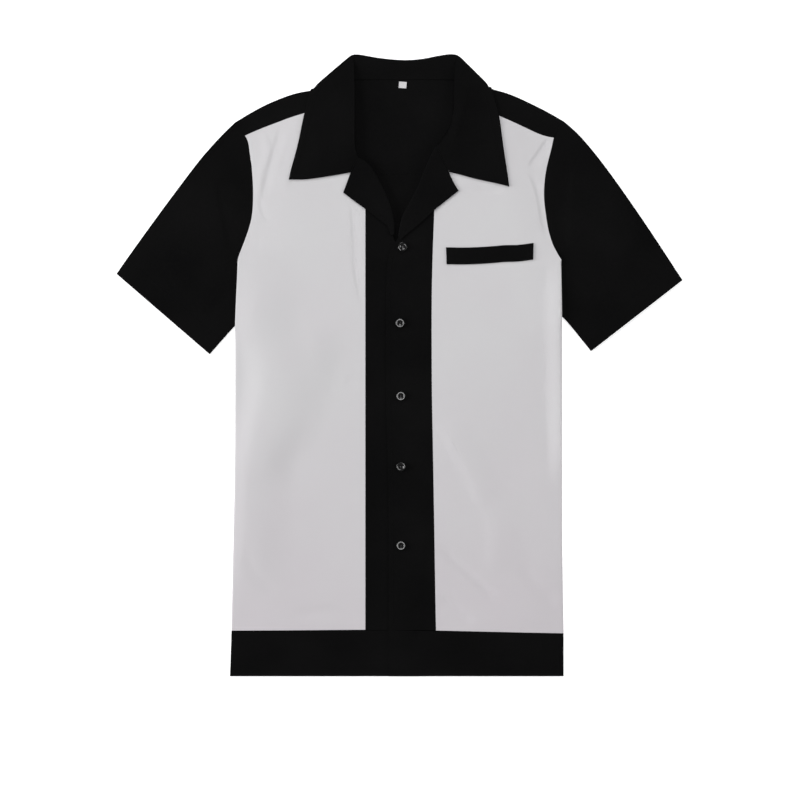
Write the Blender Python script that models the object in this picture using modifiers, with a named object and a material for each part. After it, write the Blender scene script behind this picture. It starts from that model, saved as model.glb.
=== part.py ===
"""Short-sleeved bowling shirt, buttoned at the front and laid flat on its back.

Lengths in the tables and constants are millimetres and become metres when a mesh is made.
+X is the wearer's left, +Y points to the collar and +Z is up from the surface the shirt lies on.
The origin is on that surface, under the middle of the shirt.

Every sub-part is one sheet of cloth: rows of points at the middle of its wall, thickened by
Solidify. Neighbours along a seam are SEAM apart, and a sheet on top of another is PLY above it.
"""

import math

import bpy
import numpy as np

MM = 0.001

# Cloth
WALL = 1.0                  # thickness of every cloth wall
SEAM = 0.3                  # gap between two pieces along a seam
PLY = WALL + 0.4            # from the middle of one sheet to the middle of the sheet on it
FLOOR_PLY = WALL / 2        # middle of the sheets that lie on the surface
TURN_STEPS = 4              # faces round a folded edge

# Shirt
HEM_Y = -388.7              # bottom edge
BACK_YOKE_Y = 238.0         # seam between back and yoke, on the underside
NECK_SEAM_Y = 356.0         # seam between yoke and collar at the back
EDGE_HEIGHT = 2.6           # middle of the top sheet along the folded edges
BODY_RISE = 2.2             # how much higher the top sheet lies away from the edges
SLEEVE_LIFT = 2.3           # how far the body's edge is lifted where it lies on a sleeve
NECK_LIFT = 1.3             # how far the yoke is lifted by the collar under it
LIP = 3.0                   # turned-under edge of the body where it lies on a sleeve
LIP_DROP = 1.3              # how far down that edge is turned
NECK_HIDDEN = 2.0           # how far a front stops short of the neck seam, under the collar
# The turned-under edge opens towards the armhole: distance below it, angle, width
CURL_OPENS = ((20.0, 180.0, 1.6), (12.0, 170.0, 0.4), (8.0, 120.0, 0.3), (4.0, 60.0, 0.3))
SLEEVE_RISE = 1.6           # how much higher a sleeve lies along its middle

# Where the heights change: at the first value nothing is added yet, from the second on all of it
INSIDE_EDGE = (206.0, 136.0)        # distance from the middle
INSIDE_SHOULDER = (6.0, 66.0)       # distance below the shoulder fold
INSIDE_HEM = (4.0, 74.0)            # distance above the hem
NECK_X = 5.0                        # middle of the neck
NECK_REACH = (165.0, 120.0)         # distance from it at which the collar lifts the shoulders
NECK_FRONT_Y = (225.0, 305.0)
NECK_BACK_Y = (318.0, 336.0)
OVER_SLEEVE_X = (135.0, 175.0)      # distance from the middle
OVER_SLEEVE_TOP_Y = (160.0, 134.0)
OVER_SLEEVE_LOW_Y = (20.0, 42.0)
SLEEVE_JOINS = (0.6, 1.0)           # share of the sleeve's length
UNDER_BODY_X = (231.0, 206.0)
UNDER_BODY_Y = (162.0, 136.0)
LOFT_FALLS = (0.625, 0.0)           # share of the collar leaf's width

# Rows of the sheets and faces along them
BACK_ROWS = (-200.0, 0.0, 83.0, 110.0, 150.0, 200.0)
BACK_FACES = 4
YOKE_LINES = 6
YOKE_BACK_FACES = 6
YOKE_FRONT_FACES = 3
NECK_LINES = 6
NECK_LINE_TAPER = 0.98      # foot of the yoke's lines below the neck, against their top
PANEL_FACES = 7
RETURN_FACES = 2
ROW_FACES = PANEL_FACES + TURN_STEPS + RETURN_FACES
PANEL_ROWS = (0.0, 0.03, 0.11, 0.24, 0.42, 0.6, 0.78, 0.9, 1.0)
PANEL_LOW_END = 16.0        # end of those rows, below the sleeve
SLEEVE_SIDE_ROWS = (-5.0, 8.0)      # from where the sleeve comes out
ARMHOLE_BELOW = 36.0        # last row with a full turn, below the armhole
GATHER_OPENS = 60.0         # height over which the turn's faces spread out again
BAND_ROWS = 9
BAND_FACES = 5
BAND_TOP = {"right": 112.0, "left": 115.0}      # end of the even rows
BAND_END = 2.0              # least width of a band's last row
HEM_ROWS = (0.0, 0.1, 0.5, 1.0)
SLEEVE_ROWS = (0.0, 0.04, 0.16, 0.32, 0.48, 0.62, 0.74, 0.84, 0.92, 1.0)
UNDER_SHARES = (0.35, 0.7, 1.0)     # stations of the sleeve's mouth below the body
WELT_FACES = (2, 6)
LEAST_SHARE = 0.01          # rows closer together than this become one
QUARTER = math.sqrt(0.5)    # sine of half a right angle

# Collar and lapels
STAND_FACES = 5
LEAF_FACES = 5
UNDER_FACES = 3
BACK_SECTIONS = 8
LEAF_ROWS = (0.0, 0.1, 0.24, 0.4, 0.56, 0.7, 0.83, 0.93, 1.0)
CORNER_ROWS = (0.12, 0.28, 0.46, 0.64, 0.82)
STAND_LEAST = 3.0           # least width of the stand, at the collar's front ends
STAND_IN = 0.6              # from the leaf's inner edge to the middle of the stand under it
STAND_FLOOR = 0.1           # from the middle of the stand's end to the middle of the leaf
BACK_FLAT = 2.5             # flat part of the collar inside its back roll
FOLD_GATHER = 6.0           # width of the leaf's edge that starts to fold at the shoulder
LEAF_CLEAR = 0.5            # more than PLY between the leaf and what is under it
ROLL_LOFT = 1.7             # how far the leaf stands off along its roll line
FOOT_LOFT = 0.18            # share of that at the leaf's foot, which lies level with the lapel
FOOT_RISES = (0.0, 0.24)    # share of the leaf's length over which it comes up from there
BACK_LOFT = 5.4             # middle of the sheet at the back roll
LAPEL_TURN = 1.1            # radius of the lapel's turned edge
LAPEL_EDGE = 0.9            # from the lapel's turned edge to the front under it
LAPEL_CLEAR = 0.3           # more than PLY between the lapel and the front under it
LAPEL_FACES = 5
LAPEL_SETTLE = 20.0         # distance over which the lapel comes down to the front
# The collar's seam round the end of the shoulder fold: towards the middle, up, height
NECK_TURN = ((0.4, -4.0, 3.9), (0.4, -2.4, 3.9), (0.7, -0.1, 3.1), (3.0, 0.7, 2.2),
             (8.0, 1.7, 1.9), (16.0, 2.5, 1.8), (24.0, 2.5, 1.8))
CORNER_LAP = 0.6            # least length of the leaf under its fold

# Front closing
STRIPE_X = -42.6            # seam between panel and band on the wearer's right
UNDERLAP_X = 18.0           # hidden edge of the wearer's right front
LAP_RAMP = (36.0, 20.0)     # x over which the overlapping band comes up from its seam
LAP_SHARES = (0.0, 0.3, 0.6)        # across the band where it starts inside the ramp
LAP_OUTER = 0.33            # least share of the last stretch in the ramp's middle point
LAP_LAST = 0.55             # share of the way from there to the seam

# Buttons and label
BUTTON_DIAMETER = 11.4
BUTTON_HEIGHT = 2.2
BUTTON_RIM = 1.6            # width of the raised rim
BUTTON_DISH = 0.6           # depth inside the rim
BUTTON_SLOPE = 0.4          # width of the slope from the rim down to the dish
BUTTON_ROUND = 0.5          # chamfer of the rim's outer edge
BUTTON_FOOT = 0.8           # chamfer of the foot
BUTTON_SIDES = 20
BUTTON_CENTRES = ((3.6, 147.0), (0.6, 52.1), (1.6, -39.0), (1.9, -127.0), (1.8, -225.4))
LABEL_CENTRE = (4.0, 349.6)
LABEL_SIZE = (9.5, 7.7)

# Pocket welt: corners from the lower inner one, anticlockwise
WELT_CORNERS = ((58.8, 126.1), (166.6, 132.4), (167.1, 153.0), (58.1, 147.0))

# Each side has its own sizes, because the shirt doesn't lie quite evenly. "right" is the
# wearer's right, at -X. Tables are (y, x) unless a comment says otherwise.
SIDE = {
    "right": {
        "sign": -1.0,
        # folded edge of the body, from the hem up to the armhole
        "edge": ((-389, -211.9), (-334, -210.0), (-281, -209.4), (-231, -208.1), (-181, -206.9),
                 (-144, -205.6), (44, -205.6), (81, -204.4), (106, -202.9), (130, -202.2)),
        # armhole seam on the front, from the body's edge up to the yoke seam and the shoulder
        "armhole": ((130, -202.2), (136, -200.9), (156, -192.9), (176, -186.5), (189, -184.0),
                    (211, -182.9), (234, -183.9), (249, -185.0), (264, -187.3), (279, -189.1),
                    (286.1, -193.1), (303.1, -204.4)),
        # armhole seam on the back
        "back_armhole": ((83, -163.8), (110, -168), (150, -172), (200, -175), (238, -178),
                         (303.1, -204.4)),
        # shoulder fold, (x, y), from the neck out to the sleeve
        "shoulder": ((-84, 354.0), (-89, 350.5), (-94, 346.5), (-100, 342.8), (-106, 341.6),
                     (-121, 341.6), (-134.4, 338.1),
                     (-149.4, 332.1), (-164.4, 326.0), (-179.4, 318.9), (-194.4, 309.0),
                     (-204.4, 303.1)),
        # seam between yoke and front panel, (x, y)
        "yoke_seam": ((-83, 327.0), (-118.8, 313.9), (-136.5, 308.6), (-156.4, 301.1),
                      (-176.6, 293.6), (-193.1, 286.1)),
        # top edge of the sleeve, (x, y), from the shoulder to the cuff
        "sleeve_top": ((-204.4, 303.1), (-209.4, 299.3), (-222.5, 286.1), (-236.1, 271.1),
                       (-249.4, 256.1), (-260.6, 241.1), (-271.9, 226.1), (-283.1, 211.1),
                       (-294.4, 196.1), (-308.8, 176.1), (-322.8, 156.1), (-338.1, 136.1),
                       (-353.1, 113.6)),
        # bottom edge of the sleeve, (x, y), from the underarm to the cuff
        "sleeve_bottom": ((-164.4, 84.5), (-205.4, 49.9), (-237.3, 13.6)),
        # neck seam hidden under the collar, from the break of the collar up to the shoulder
        "neck": ((253.5, -50.0), (257, -57.0), (280, -67.0), (300, -76.0), (327, -83.0),
                 (354, -84.0)),
        # roll line of the collar, from its end up to the back
        "roll": ((258.6, -51.9), (270, -56.0), (343.6, -56.0), (387.5, -57.6)),
        # outer edge of the collar, from its point up to the shoulder
        "leaf_edge": ((231.1, -138.1), (234, -138.5), (249, -133.9), (271, -127.4),
                      (286, -124.4), (309, -120.0), (314, -118.8), (343.6, -110.6)),
        # lower edge of the collar, (x, y): the gorge seam from the roll line to the notch, then
        # the free edge to the collar's point
        "leaf_foot": ((-51.9, 258.6), (-61.1, 239.9), (-74.4, 237.4), (-104.4, 232.6),
                      (-119.4, 230.9), (-138.1, 231.1)),
        "collar_corner": (-57.6, 389.2),
        "under_corner": (-60.0, 346.0),
        # lapel below its gorge seam, (roll x, roll y, edge x, edge y), down to the break
        "lapel": ((-42.5, 254.5, -65.5, 227.0), (-34.6, 247.0, -70.1, 214.9),
                  (-24.5, 228.6, -55.8, 203.6), (-13.9, 207.9, -42.2, 194.3),
                  (-8.6, 190.0, -31.3, 186.1), (-5.8, 175.0, -14.5, 173.0),
                  (-6.4, 163.0, -10.9, 161.5)),
    },
    "left": {
        "sign": 1.0,
        "edge": ((-389, 205.0), (-334, 205.0), (-219, 203.1), (44, 203.1), (64, 202.8),
                 (131, 201.8)),
        "armhole": ((131, 201.8), (146, 192.4), (166, 185.8), (189, 182.5), (204, 180.5),
                    (219, 180.1), (241, 182.1), (256, 186.0), (271, 189.9), (283.6, 192.5),
                    (304.1, 204.4)),
        "back_armhole": ((83, 162.6), (110, 167), (150, 171), (200, 174), (238, 177),
                         (304.1, 204.4)),
        "shoulder": ((95, 354.0), (99, 350.5), (103, 346.5), (108, 344.2), (121, 344.0),
                     (140.6, 336.9),
                     (160.6, 327.8), (180.6, 317.5), (195.6, 310.5), (204.4, 304.1)),
        "yoke_seam": ((93.5, 324.0), (125.6, 309.9), (135.6, 305.8), (150.6, 299.0),
                      (165.6, 291.9), (180.6, 285.4), (192.5, 283.6)),
        "sleeve_top": ((204.4, 304.1), (218.1, 293.6), (231.6, 278.6), (244.4, 263.6),
                       (256.0, 248.6), (266.9, 233.6), (277.4, 218.6), (288.1, 203.6),
                       (298.5, 188.6), (313.6, 166.1), (327.0, 146.1), (339.6, 126.1),
                       (353.1, 105.8)),
        "sleeve_bottom": ((163.2, 84.5), (202.8, 63.0), (239.4, 17.4)),
        "neck": ((266, 45.5), (270, 51.0), (285, 66.0), (300, 80.0), (324, 94.0), (354, 95.0)),
        "roll": ((272.4, 45.6), (286, 56.3), (298.6, 64.0), (318, 67.4), (346, 67.4),
                 (365, 68.4), (381, 70.6), (389, 71.2)),
        "leaf_edge": ((222.4, 136.9), (234, 135.6), (256, 131.9), (279, 128.5), (309, 125.0),
                      (346, 114.4)),
        "leaf_foot": ((45.6, 272.4), (62.0, 240.3), (75.6, 237.4), (90.6, 232.8),
                      (105.6, 229.5), (120.6, 226.5), (136.9, 222.4)),
        "collar_corner": (71.2, 388.6),
        "under_corner": (72.0, 347.5),
        "lapel": ((33.1, 249.0, 66.5, 228.0), (26.3, 228.6, 73.6, 217.1),
                  (18.0, 212.0, 56.6, 203.6), (9.6, 196.1, 44.4, 194.3),
                  (2.6, 184.0, 22.9, 173.6), (0.6, 173.0, 9.0, 163.6),
                  (-1.4, 161.0, 0.5, 155.5)),
    },
}

# Overlapping edge of the wearer's left front, from the hem up to the break
OVERLAP = ((-389, -13.4), (-124, -13.4), (-86, -16.9), (115, -16.9), (130, -14.6), (143, -11.5),
           (150, -6.0))
# Seam between band and panel on the wearer's left
STRIPE_LEFT = ((-389, 46.0), (-331, 45.5), (-256, 44.0), (-181, 43.1), (-106, 41.9), (-69, 40.8),
               (-31, 40.0), (81, 40.0), (146, 41.4), (189, 43.5), (275, 43.5))
# Hidden edge of the wearer's right front, from the underlap up to the roll line
UNDERLAP_NECK = ((130, 14.0), (146, 2.0), (156, -7.0))
# Top seam of the hem band, (x, y)
BAND_SEAM = ((-212, -331.9), (-119, -329.5), (-44, -330.5), (46, -331.5), (76, -333.1),
             (136, -334.0), (206, -335.2))
# Back roll edge of the collar, (x, y)
BACK_ROLL = ((-57.6, 389.2), (-44, 386.0), (-29, 383.3), (-14, 381.2), (7, 380.0), (29, 381.0),
             (46, 385.5), (60, 388.0), (71.2, 388.6))


def look(table, value):
    """Second column of a table at a value of its first, which may run either way."""
    keys = [row[0] for row in table]
    values = [row[1] for row in table]
    if keys[0] > keys[-1]:
        keys.reverse()
        values.reverse()
    return float(np.interp(value, keys, values))


def reaches(points):
    """Distance of each point of a polyline from its start."""
    line = np.asarray(points, float)
    steps = np.linalg.norm(np.diff(line, axis=0), axis=1)
    return np.concatenate(([0.0], np.cumsum(steps)))


def walk(points, fraction):
    """Point at a fraction of the length of a polyline."""
    line = np.asarray(points, float)
    reach = reaches(line)
    at = fraction * reach[-1]
    return np.array([np.interp(at, reach, line[:, axis]) for axis in range(line.shape[1])])


def mix(start, end, fraction):
    return np.asarray(start, float) * (1 - fraction) + np.asarray(end, float) * fraction


def ease(value):
    """0 below 0, 1 above 1 and a smooth step between."""
    value = min(max(value, 0.0), 1.0)
    return value * value * (3 - 2 * value)


def between(value, ends):
    """0 up to the first of two ends, 1 from the second on and a smooth step between."""
    zero, one = ends
    return ease((value - zero) / (one - zero))


def toward(start, end):
    """Unit vector from one plan point to another."""
    step = np.asarray(end, float)[:2] - np.asarray(start, float)[:2]
    return step / np.linalg.norm(step)


def turned(table):
    """Table with its two columns changed over."""
    return [(row[1], row[0]) for row in table]


# Heights

def near_neck(x):
    """1 where collar and shoulders lie on each other, 0 towards the sleeves."""
    return between(abs(x - NECK_X), NECK_REACH)


def on_sleeve(x, y):
    """1 along the body's edge where it lies on a sleeve, 0 away from it."""
    beside = between(abs(x), OVER_SLEEVE_X)
    return beside * between(y, OVER_SLEEVE_TOP_Y) * between(y, OVER_SLEEVE_LOW_Y)


def top_height(x, y):
    """Middle of the front's sheet."""
    sizes = SIDE["right" if x < 0 else "left"]
    shoulder_y = look(sizes["shoulder"], x)
    inside = between(abs(x), INSIDE_EDGE) * between(shoulder_y - y, INSIDE_SHOULDER)
    inside *= between(y - HEM_Y, INSIDE_HEM)
    neck = NECK_LIFT * near_neck(x) * between(y, NECK_FRONT_Y)
    return EDGE_HEIGHT + BODY_RISE * inside + neck + SLEEVE_LIFT * on_sleeve(x, y)


def lapped_height(x, y):
    """Middle of the wearer's left band, which comes up over the right one."""
    return top_height(x, y) + PLY * between(x, LAP_RAMP)


def back_height(x, y):
    """Middle of the back's sheet, lifted by the collar under it."""
    return FLOOR_PLY + NECK_LIFT * near_neck(x) * between(y, NECK_BACK_Y)


# Lines of points

def run(start, end, count, height):
    """Points from start to end, at height(x, y)."""
    made = []
    for step in range(count + 1):
        x, y = mix(start[:2], end[:2], step / count)
        made.append((x, y, height(x, y)))
    return made


def turn(at, first, last, start, end, steps=TURN_STEPS):
    """Half circle from one height to another, furthest out at a plan point.

    first and last are the plan directions from that point back along the two sheets.
    """
    radius = abs(end - start) / 2
    arc = []
    for step in range(steps + 1):
        angle = math.pi * step / steps
        reach = radius * (1 - math.sin(angle))
        way = first if step * 2 < steps else last
        height = start + (end - start) * (1 - math.cos(angle)) / 2
        arc.append((at[0] + way[0] * reach, at[1] + way[1] * reach, height))
    return arc


def folded(start, at, end, heights, counts):
    """Line along one sheet, round a fold and back along the other.

    heights are the functions of the two sheets, counts the faces along them.
    """
    low = heights[0](*at[:2])
    high = heights[1](*at[:2])
    first, last = toward(at, start), toward(at, end)
    arc = turn(at, first, last, low, high)
    before = run(start, arc[0], counts[0], heights[0])
    after = run(arc[-1], end, counts[1], heights[1])
    return before[:-1] + arc + after[1:]


# Meshes

def collection():
    name = "bowling_shirt"
    if name not in bpy.data.collections:
        made = bpy.data.collections.new(name)
        bpy.context.scene.collection.children.link(made)
    return bpy.data.collections[name]


def material(name, colour, roughness):
    if name in bpy.data.materials:
        return bpy.data.materials[name]
    made = bpy.data.materials.new(name)
    made.use_nodes = True
    shader = made.node_tree.nodes["Principled BSDF"]
    shader.inputs["Base Color"].default_value = (*colour, 1.0)
    shader.inputs["Roughness"].default_value = roughness
    return made


def black_cloth():
    return material("black_cotton", (0.0052, 0.0052, 0.0056), 0.85)


def white_cloth():
    return material("white_cotton", (0.62, 0.61, 0.62), 0.85)


def button_plastic():
    return material("button_plastic", (0.012, 0.012, 0.013), 0.3)


def cloth(name, rows, finish, closed=False):
    """Sheet through rows of points, thickened evenly to both sides.

    closed joins the ends of each row, as round a tube.
    """
    points = []
    starts = []
    for row in rows:
        starts.append(len(points))
        points.extend(tuple(value * MM for value in point) for point in row)
    faces = []
    for index in range(len(rows) - 1):
        count = min(len(rows[index]), len(rows[index + 1]))
        here, there = starts[index], starts[index + 1]
        for step in range(count - 1):
            faces.append((here + step, here + step + 1, there + step + 1, there + step))
        if closed:
            faces.append((here + count - 1, here, there, there + count - 1))
    mesh = bpy.data.meshes.new(name)
    mesh.from_pydata(points, [], faces)
    mesh.materials.append(finish)
    piece = bpy.data.objects.new(name, mesh)
    collection().objects.link(piece)
    wall = piece.modifiers.new("wall", "SOLIDIFY")
    wall.thickness = WALL * MM
    wall.offset = 0.0
    return piece


# Body

def level(x, y):
    """Middle of a sheet that lies on the surface."""
    return FLOOR_PLY


def back_edge(side, y):
    """Side of the back panel, half a seam inside the seam's line."""
    sizes = SIDE[side]
    return look(sizes["back_armhole"], y) - sizes["sign"] * SEAM / 2


def back_panel():
    """Back of the body, lying on the surface between the two side seams."""
    rows = []
    for y in (HEM_Y, *BACK_ROWS, BACK_YOKE_Y - SEAM / 2):
        rows.append(run((back_edge("right", y), y), (back_edge("left", y), y), BACK_FACES, level))
    cloth("back_panel", rows, black_cloth())


def yoke_line(side, fraction):
    """One line of the yoke over a shoulder; fraction runs from the sleeve to the neck."""
    sizes = SIDE[side]
    inset = -sizes["sign"] * SEAM / 2 * (1 - 2 * fraction)
    start_x = mix(look(sizes["back_armhole"], BACK_YOKE_Y), sizes["shoulder"][0][0], fraction)
    start = (start_x + inset, BACK_YOKE_Y + SEAM / 2)
    fold = walk(sizes["shoulder"], 1 - fraction) + (inset, 0)
    seam = walk(sizes["yoke_seam"], 1 - fraction) + (inset, SEAM / 2)
    return folded(start, fold, seam, (back_height, top_height),
                  (YOKE_BACK_FACES, YOKE_FRONT_FACES))


def neck_line(x):
    """One line of the yoke below the neck, from the back seam to the neck seam."""
    return run((x * NECK_LINE_TAPER, BACK_YOKE_Y + SEAM / 2), (x, NECK_SEAM_Y - SEAM / 2),
               YOKE_BACK_FACES, back_height)


def yoke():
    """Yoke: across the back, over both shoulders and down to the front panels."""
    neck_turn = NECK_TURN[-1][0]
    first = SIDE["right"]["shoulder"][0][0] + neck_turn
    last = SIDE["left"]["shoulder"][0][0] - neck_turn
    rows = [yoke_line("right", step / YOKE_LINES) for step in range(YOKE_LINES + 1)]
    rows += [neck_line(float(x)) for x in np.linspace(first, last, NECK_LINES)]
    rows += [yoke_line("left", 1 - step / YOKE_LINES) for step in range(YOKE_LINES + 1)]
    cloth("yoke", rows, black_cloth())


def sleeve_emerges(side):
    """Height on the body's edge where the sleeve comes out from under it."""
    return SIDE[side]["sleeve_bottom"][1][1]


def wrapped_row(side, inner, y, height, stations=()):
    """Row from an inner point, round the body's folded edge and back to the side seam.

    stations are x values that the row passes first.
    """
    sizes = SIDE[side]
    sign = sizes["sign"]
    edge = look(sizes["edge"], y) - sign * WALL / 2
    end = back_edge(side, 0.0) + sign * SEAM
    arc = turn((edge, y), (-sign, 0.0), (-sign, 0.0), height(edge, y), FLOOR_PLY)
    begin = [(x, y, height(x, y)) for x in (inner[0], *stations)]
    top = run(begin[-1], arc[0], PANEL_FACES - len(stations), height)
    under = run(arc[-1], (end, y), RETURN_FACES, level)
    return begin[:-1] + top[:-1] + arc + under[1:]


def curled_row(side, y, angle, lip):
    """Row from the stripe seam to the body's edge, curled under by an angle in degrees."""
    sizes = SIDE[side]
    sign = sizes["sign"]
    edge = look(sizes["edge"], y) - sign * WALL / 2
    curl = [(0.0, 0.0)]
    for step in range(TURN_STEPS + RETURN_FACES):
        bend = math.radians(angle) * min((step + 0.5) / TURN_STEPS, 1.0)
        length = math.pi * LIP_DROP / 2 / TURN_STEPS if step < TURN_STEPS else lip / RETURN_FACES
        reach, drop = curl[-1]
        curl.append((reach + length * math.cos(bend), drop + length * math.sin(bend)))
    base = edge - sign * max(reach for reach, drop in curl)
    top = run((panel_inner(side, y), y), (base, y), PANEL_FACES, top_height)
    high = top_height(base, y)
    return top[:-1] + [(base + sign * reach, y, high - drop) for reach, drop in curl]


def open_row(start, end, gather):
    """Row of the upper front, with as many points as a wrapped one.

    gather is the length of the faces that go round the fold lower down.
    """
    length = np.linalg.norm(np.subtract(end, start))
    share = gather / length
    middle = mix(end, start, share)
    rest = TURN_STEPS + RETURN_FACES
    return run(start, middle, PANEL_FACES, top_height)[:-1] + run(middle, end, rest, top_height)


def panel_inner(side, y):
    """Stripe seam of a front panel."""
    if side == "right":
        return STRIPE_X - SEAM / 2
    return look(STRIPE_LEFT, y) + SEAM / 2


def level_row(side, fraction, low, high, inner, height, stations=()):
    """Wrapped row between two seams that aren't level: low(x) and high(x)."""
    edge_x = look(SIDE[side]["edge"], -334)
    inner_y = mix(low(inner), high(inner), fraction)
    edge_y = mix(low(edge_x), high(edge_x), fraction)
    row = wrapped_row(side, (inner, inner_y), edge_y, height, stations)
    moved = []
    for x, _, z in row:
        share = min(max((x - inner) / (edge_x - inner), 0.0), 1.0)
        moved.append((x, mix(inner_y, edge_y, share), z))
    return moved


def panel_low_rows(side):
    """Rows from the hem band's seam up to just below the sleeve."""
    top = sleeve_emerges(side) - PANEL_LOW_END
    rows = []
    for fraction in PANEL_ROWS:
        y = mix(look(BAND_SEAM, 0.0), top, fraction)
        rows.append(level_row(side, fraction, lambda x: look(BAND_SEAM, x) + SEAM / 2,
                              lambda x: top, panel_inner(side, y), top_height))
    return rows


def panel_middle_rows(side):
    """Rows beside the sleeve and along the lower armhole, up to the collar."""
    sizes = SIDE[side]
    foot = sizes["armhole"][0][0]
    top = panel_shoulder(side)
    turned_ys = [sleeve_emerges(side) + step for step in SLEEVE_SIDE_ROWS]
    turned_ys.append(foot - ARMHOLE_BELOW)
    rows = [curled_row(side, y, 180.0, LIP) for y in turned_ys]
    for below, angle, lip in CURL_OPENS:
        rows.append(curled_row(side, foot - below, angle, lip))
    curl = math.pi * LIP_DROP / 2 + CURL_OPENS[-1][2]
    for y, x in sizes["armhole"]:
        if y <= top:
            end = (x - sizes["sign"] * SEAM / 2, y)
            full = abs(x - panel_inner(side, y)) * (ROW_FACES - PANEL_FACES) / ROW_FACES
            rows.append(open_row((panel_inner(side, y), y), end,
                                 mix(curl, full, ease((y - foot) / GATHER_OPENS))))
    return rows


def panel_shoulder(side):
    """Armhole row at which the rows start to slant towards the yoke seam."""
    return SIDE[side]["armhole"][-6][0]


def panel_neck_line(side):
    """Inner edge of the upper front, (x, y): stripe seam, roll line, hidden neck seam."""
    sizes = SIDE[side]
    sign = sizes["sign"]
    low = panel_shoulder(side)
    neck = [(x + sign * NECK_HIDDEN, y) for y, x in sizes["neck"][1:-2]]
    neck.append((sizes["yoke_seam"][0][0], sizes["yoke_seam"][0][1] - SEAM / 2))
    break_y, break_x = sizes["neck"][0]
    return [(panel_inner(side, low), low), (panel_inner(side, low), break_y - 3),
            (break_x, break_y)] + neck


def panel_high_rows(side):
    """Rows that slant up to the yoke seam."""
    sizes = SIDE[side]
    sign = sizes["sign"]
    outer = [(x - sign * SEAM / 2, y) for y, x in sizes["armhole"][-6:-1]]
    outer[-1] = (outer[-1][0], outer[-1][1] - SEAM / 2)
    inner = panel_neck_line(side)
    rows = []
    for share in corners(inner, outer):
        start = walk(inner, share)
        end = walk(outer, share)
        full = np.linalg.norm(end - start) * (ROW_FACES - PANEL_FACES) / ROW_FACES
        rows.append(open_row(start, end, full))
    seam = [(x, y - SEAM / 2) for x, y in sizes["yoke_seam"]]
    seam[-1] = outer[-1]
    top = [walk(seam, step / ROW_FACES) for step in range(ROW_FACES + 1)]
    rows.append([(x, y, top_height(x, y)) for x, y in top])
    return rows


def corners(first, second):
    """Shares of the length at which either of two polylines has a corner."""
    shares = []
    for line in (first, second):
        shares += [reach / reaches(line)[-1] for reach in reaches(line)[1:-1]]
    kept = []
    for share in sorted(shares):
        if not kept or share - kept[-1] > LEAST_SHARE:
            kept.append(share)
    return kept


def front_panel(side):
    """White front: from stripe seam to armhole, and round the side to the side seam."""
    rows = panel_low_rows(side) + panel_middle_rows(side) + panel_high_rows(side)
    cloth("front_panel_" + side, rows, white_cloth())


def lapel_lines(side):
    """Lines across the lapel; the first runs beside the leaf's foot, from roll line to notch."""
    roll, notch = SIDE[side]["leaf_foot"][:2]
    along_x, along_y = toward(roll, notch)
    aside = np.array((along_y, -along_x)) * SIDE[side]["sign"] * SEAM
    return [(*(roll + aside), *(notch + aside)), *SIDE[side]["lapel"]]


def roll_edge(side):
    """Edge of a front just inside the lapel's turned edge, (y, x) from the break up."""
    edge = []
    for line in reversed(lapel_lines(side)):
        out = toward(line[:2], line[2:])
        x, y = np.array(line[:2]) + out * (LAPEL_TURN + LAPEL_EDGE)
        edge.append((y, x))
    return edge


def band_levels(top):
    """Heights of a front band's rows up to the break."""
    bottom = look(BAND_SEAM, 0.0) + SEAM / 2
    return list(np.linspace(bottom, top, BAND_ROWS))


def front_band_right():
    """Wearer's right band, under the other one and below its own lapel."""
    edge = [(y, UNDERLAP_X) for y in band_levels(BAND_TOP["right"])] + list(UNDERLAP_NECK)
    edge += [row for row in roll_edge("right") if row[1] > STRIPE_X + BAND_END]
    rows = []
    for y, x in edge:
        rows.append(run((STRIPE_X + SEAM / 2, y), (x, y), BAND_FACES, top_height))
    cloth("front_band_right", rows, black_cloth())


def front_band_left():
    """Wearer's left band, which laps over the other one."""
    top = BAND_TOP["left"]
    edge = [(y, look(OVERLAP, y)) for y in band_levels(top)]
    edge += [row for row in OVERLAP if top < row[0]]
    edge += [row for row in roll_edge("left") if row[1] < look(STRIPE_LEFT, row[0]) - BAND_END]
    high, low = LAP_RAMP
    rows = []
    for y, x in edge:
        seam = look(STRIPE_LEFT, y) - SEAM / 2
        points = [mix(x, seam, share) for share in LAP_SHARES]
        if x < low:
            points = [x, mix(x, low, 0.5), low]
        middle = max(mix(low, high, 0.5), mix(points[-1], seam, LAP_OUTER))
        points += [middle, mix(middle, seam, LAP_LAST), seam]
        rows.append([(at, y, lapped_height(at, y)) for at in points])
    cloth("front_band_left", rows, black_cloth())


def hem_band(side):
    """Band along the hem, from the front opening round the side to the side seam."""
    height = top_height if side == "right" else lapped_height
    inner = UNDERLAP_X if side == "right" else OVERLAP[0][1]
    high, low = LAP_RAMP
    stations = () if side == "right" else (low, mix(low, high, 0.5), high)
    rows = []
    for fraction in HEM_ROWS:
        rows.append(level_row(side, fraction, lambda x: HEM_Y,
                              lambda x: look(BAND_SEAM, x) - SEAM / 2, inner, height, stations))
    cloth("hem_band_" + side, rows, black_cloth())


# Sleeves

def front_mouth(side):
    """Sleeve's edge along the front armhole, then under the body to the underarm."""
    sizes = SIDE[side]
    sign = sizes["sign"]
    seam = [(x + sign * SEAM / 2, y) for y, x in reversed(sizes["armhole"])]
    under = sizes["sleeve_bottom"][0]
    return seam + [tuple(mix(seam[-1], under, share)) for share in UNDER_SHARES]


def back_mouth(side):
    """Sleeve's edge along the back armhole."""
    sizes = SIDE[side]
    seam = [(x + sizes["sign"] * SEAM / 2, y) for y, x in reversed(sizes["back_armhole"])]
    return seam[:-1] + [sizes["sleeve_bottom"][0]]


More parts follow.
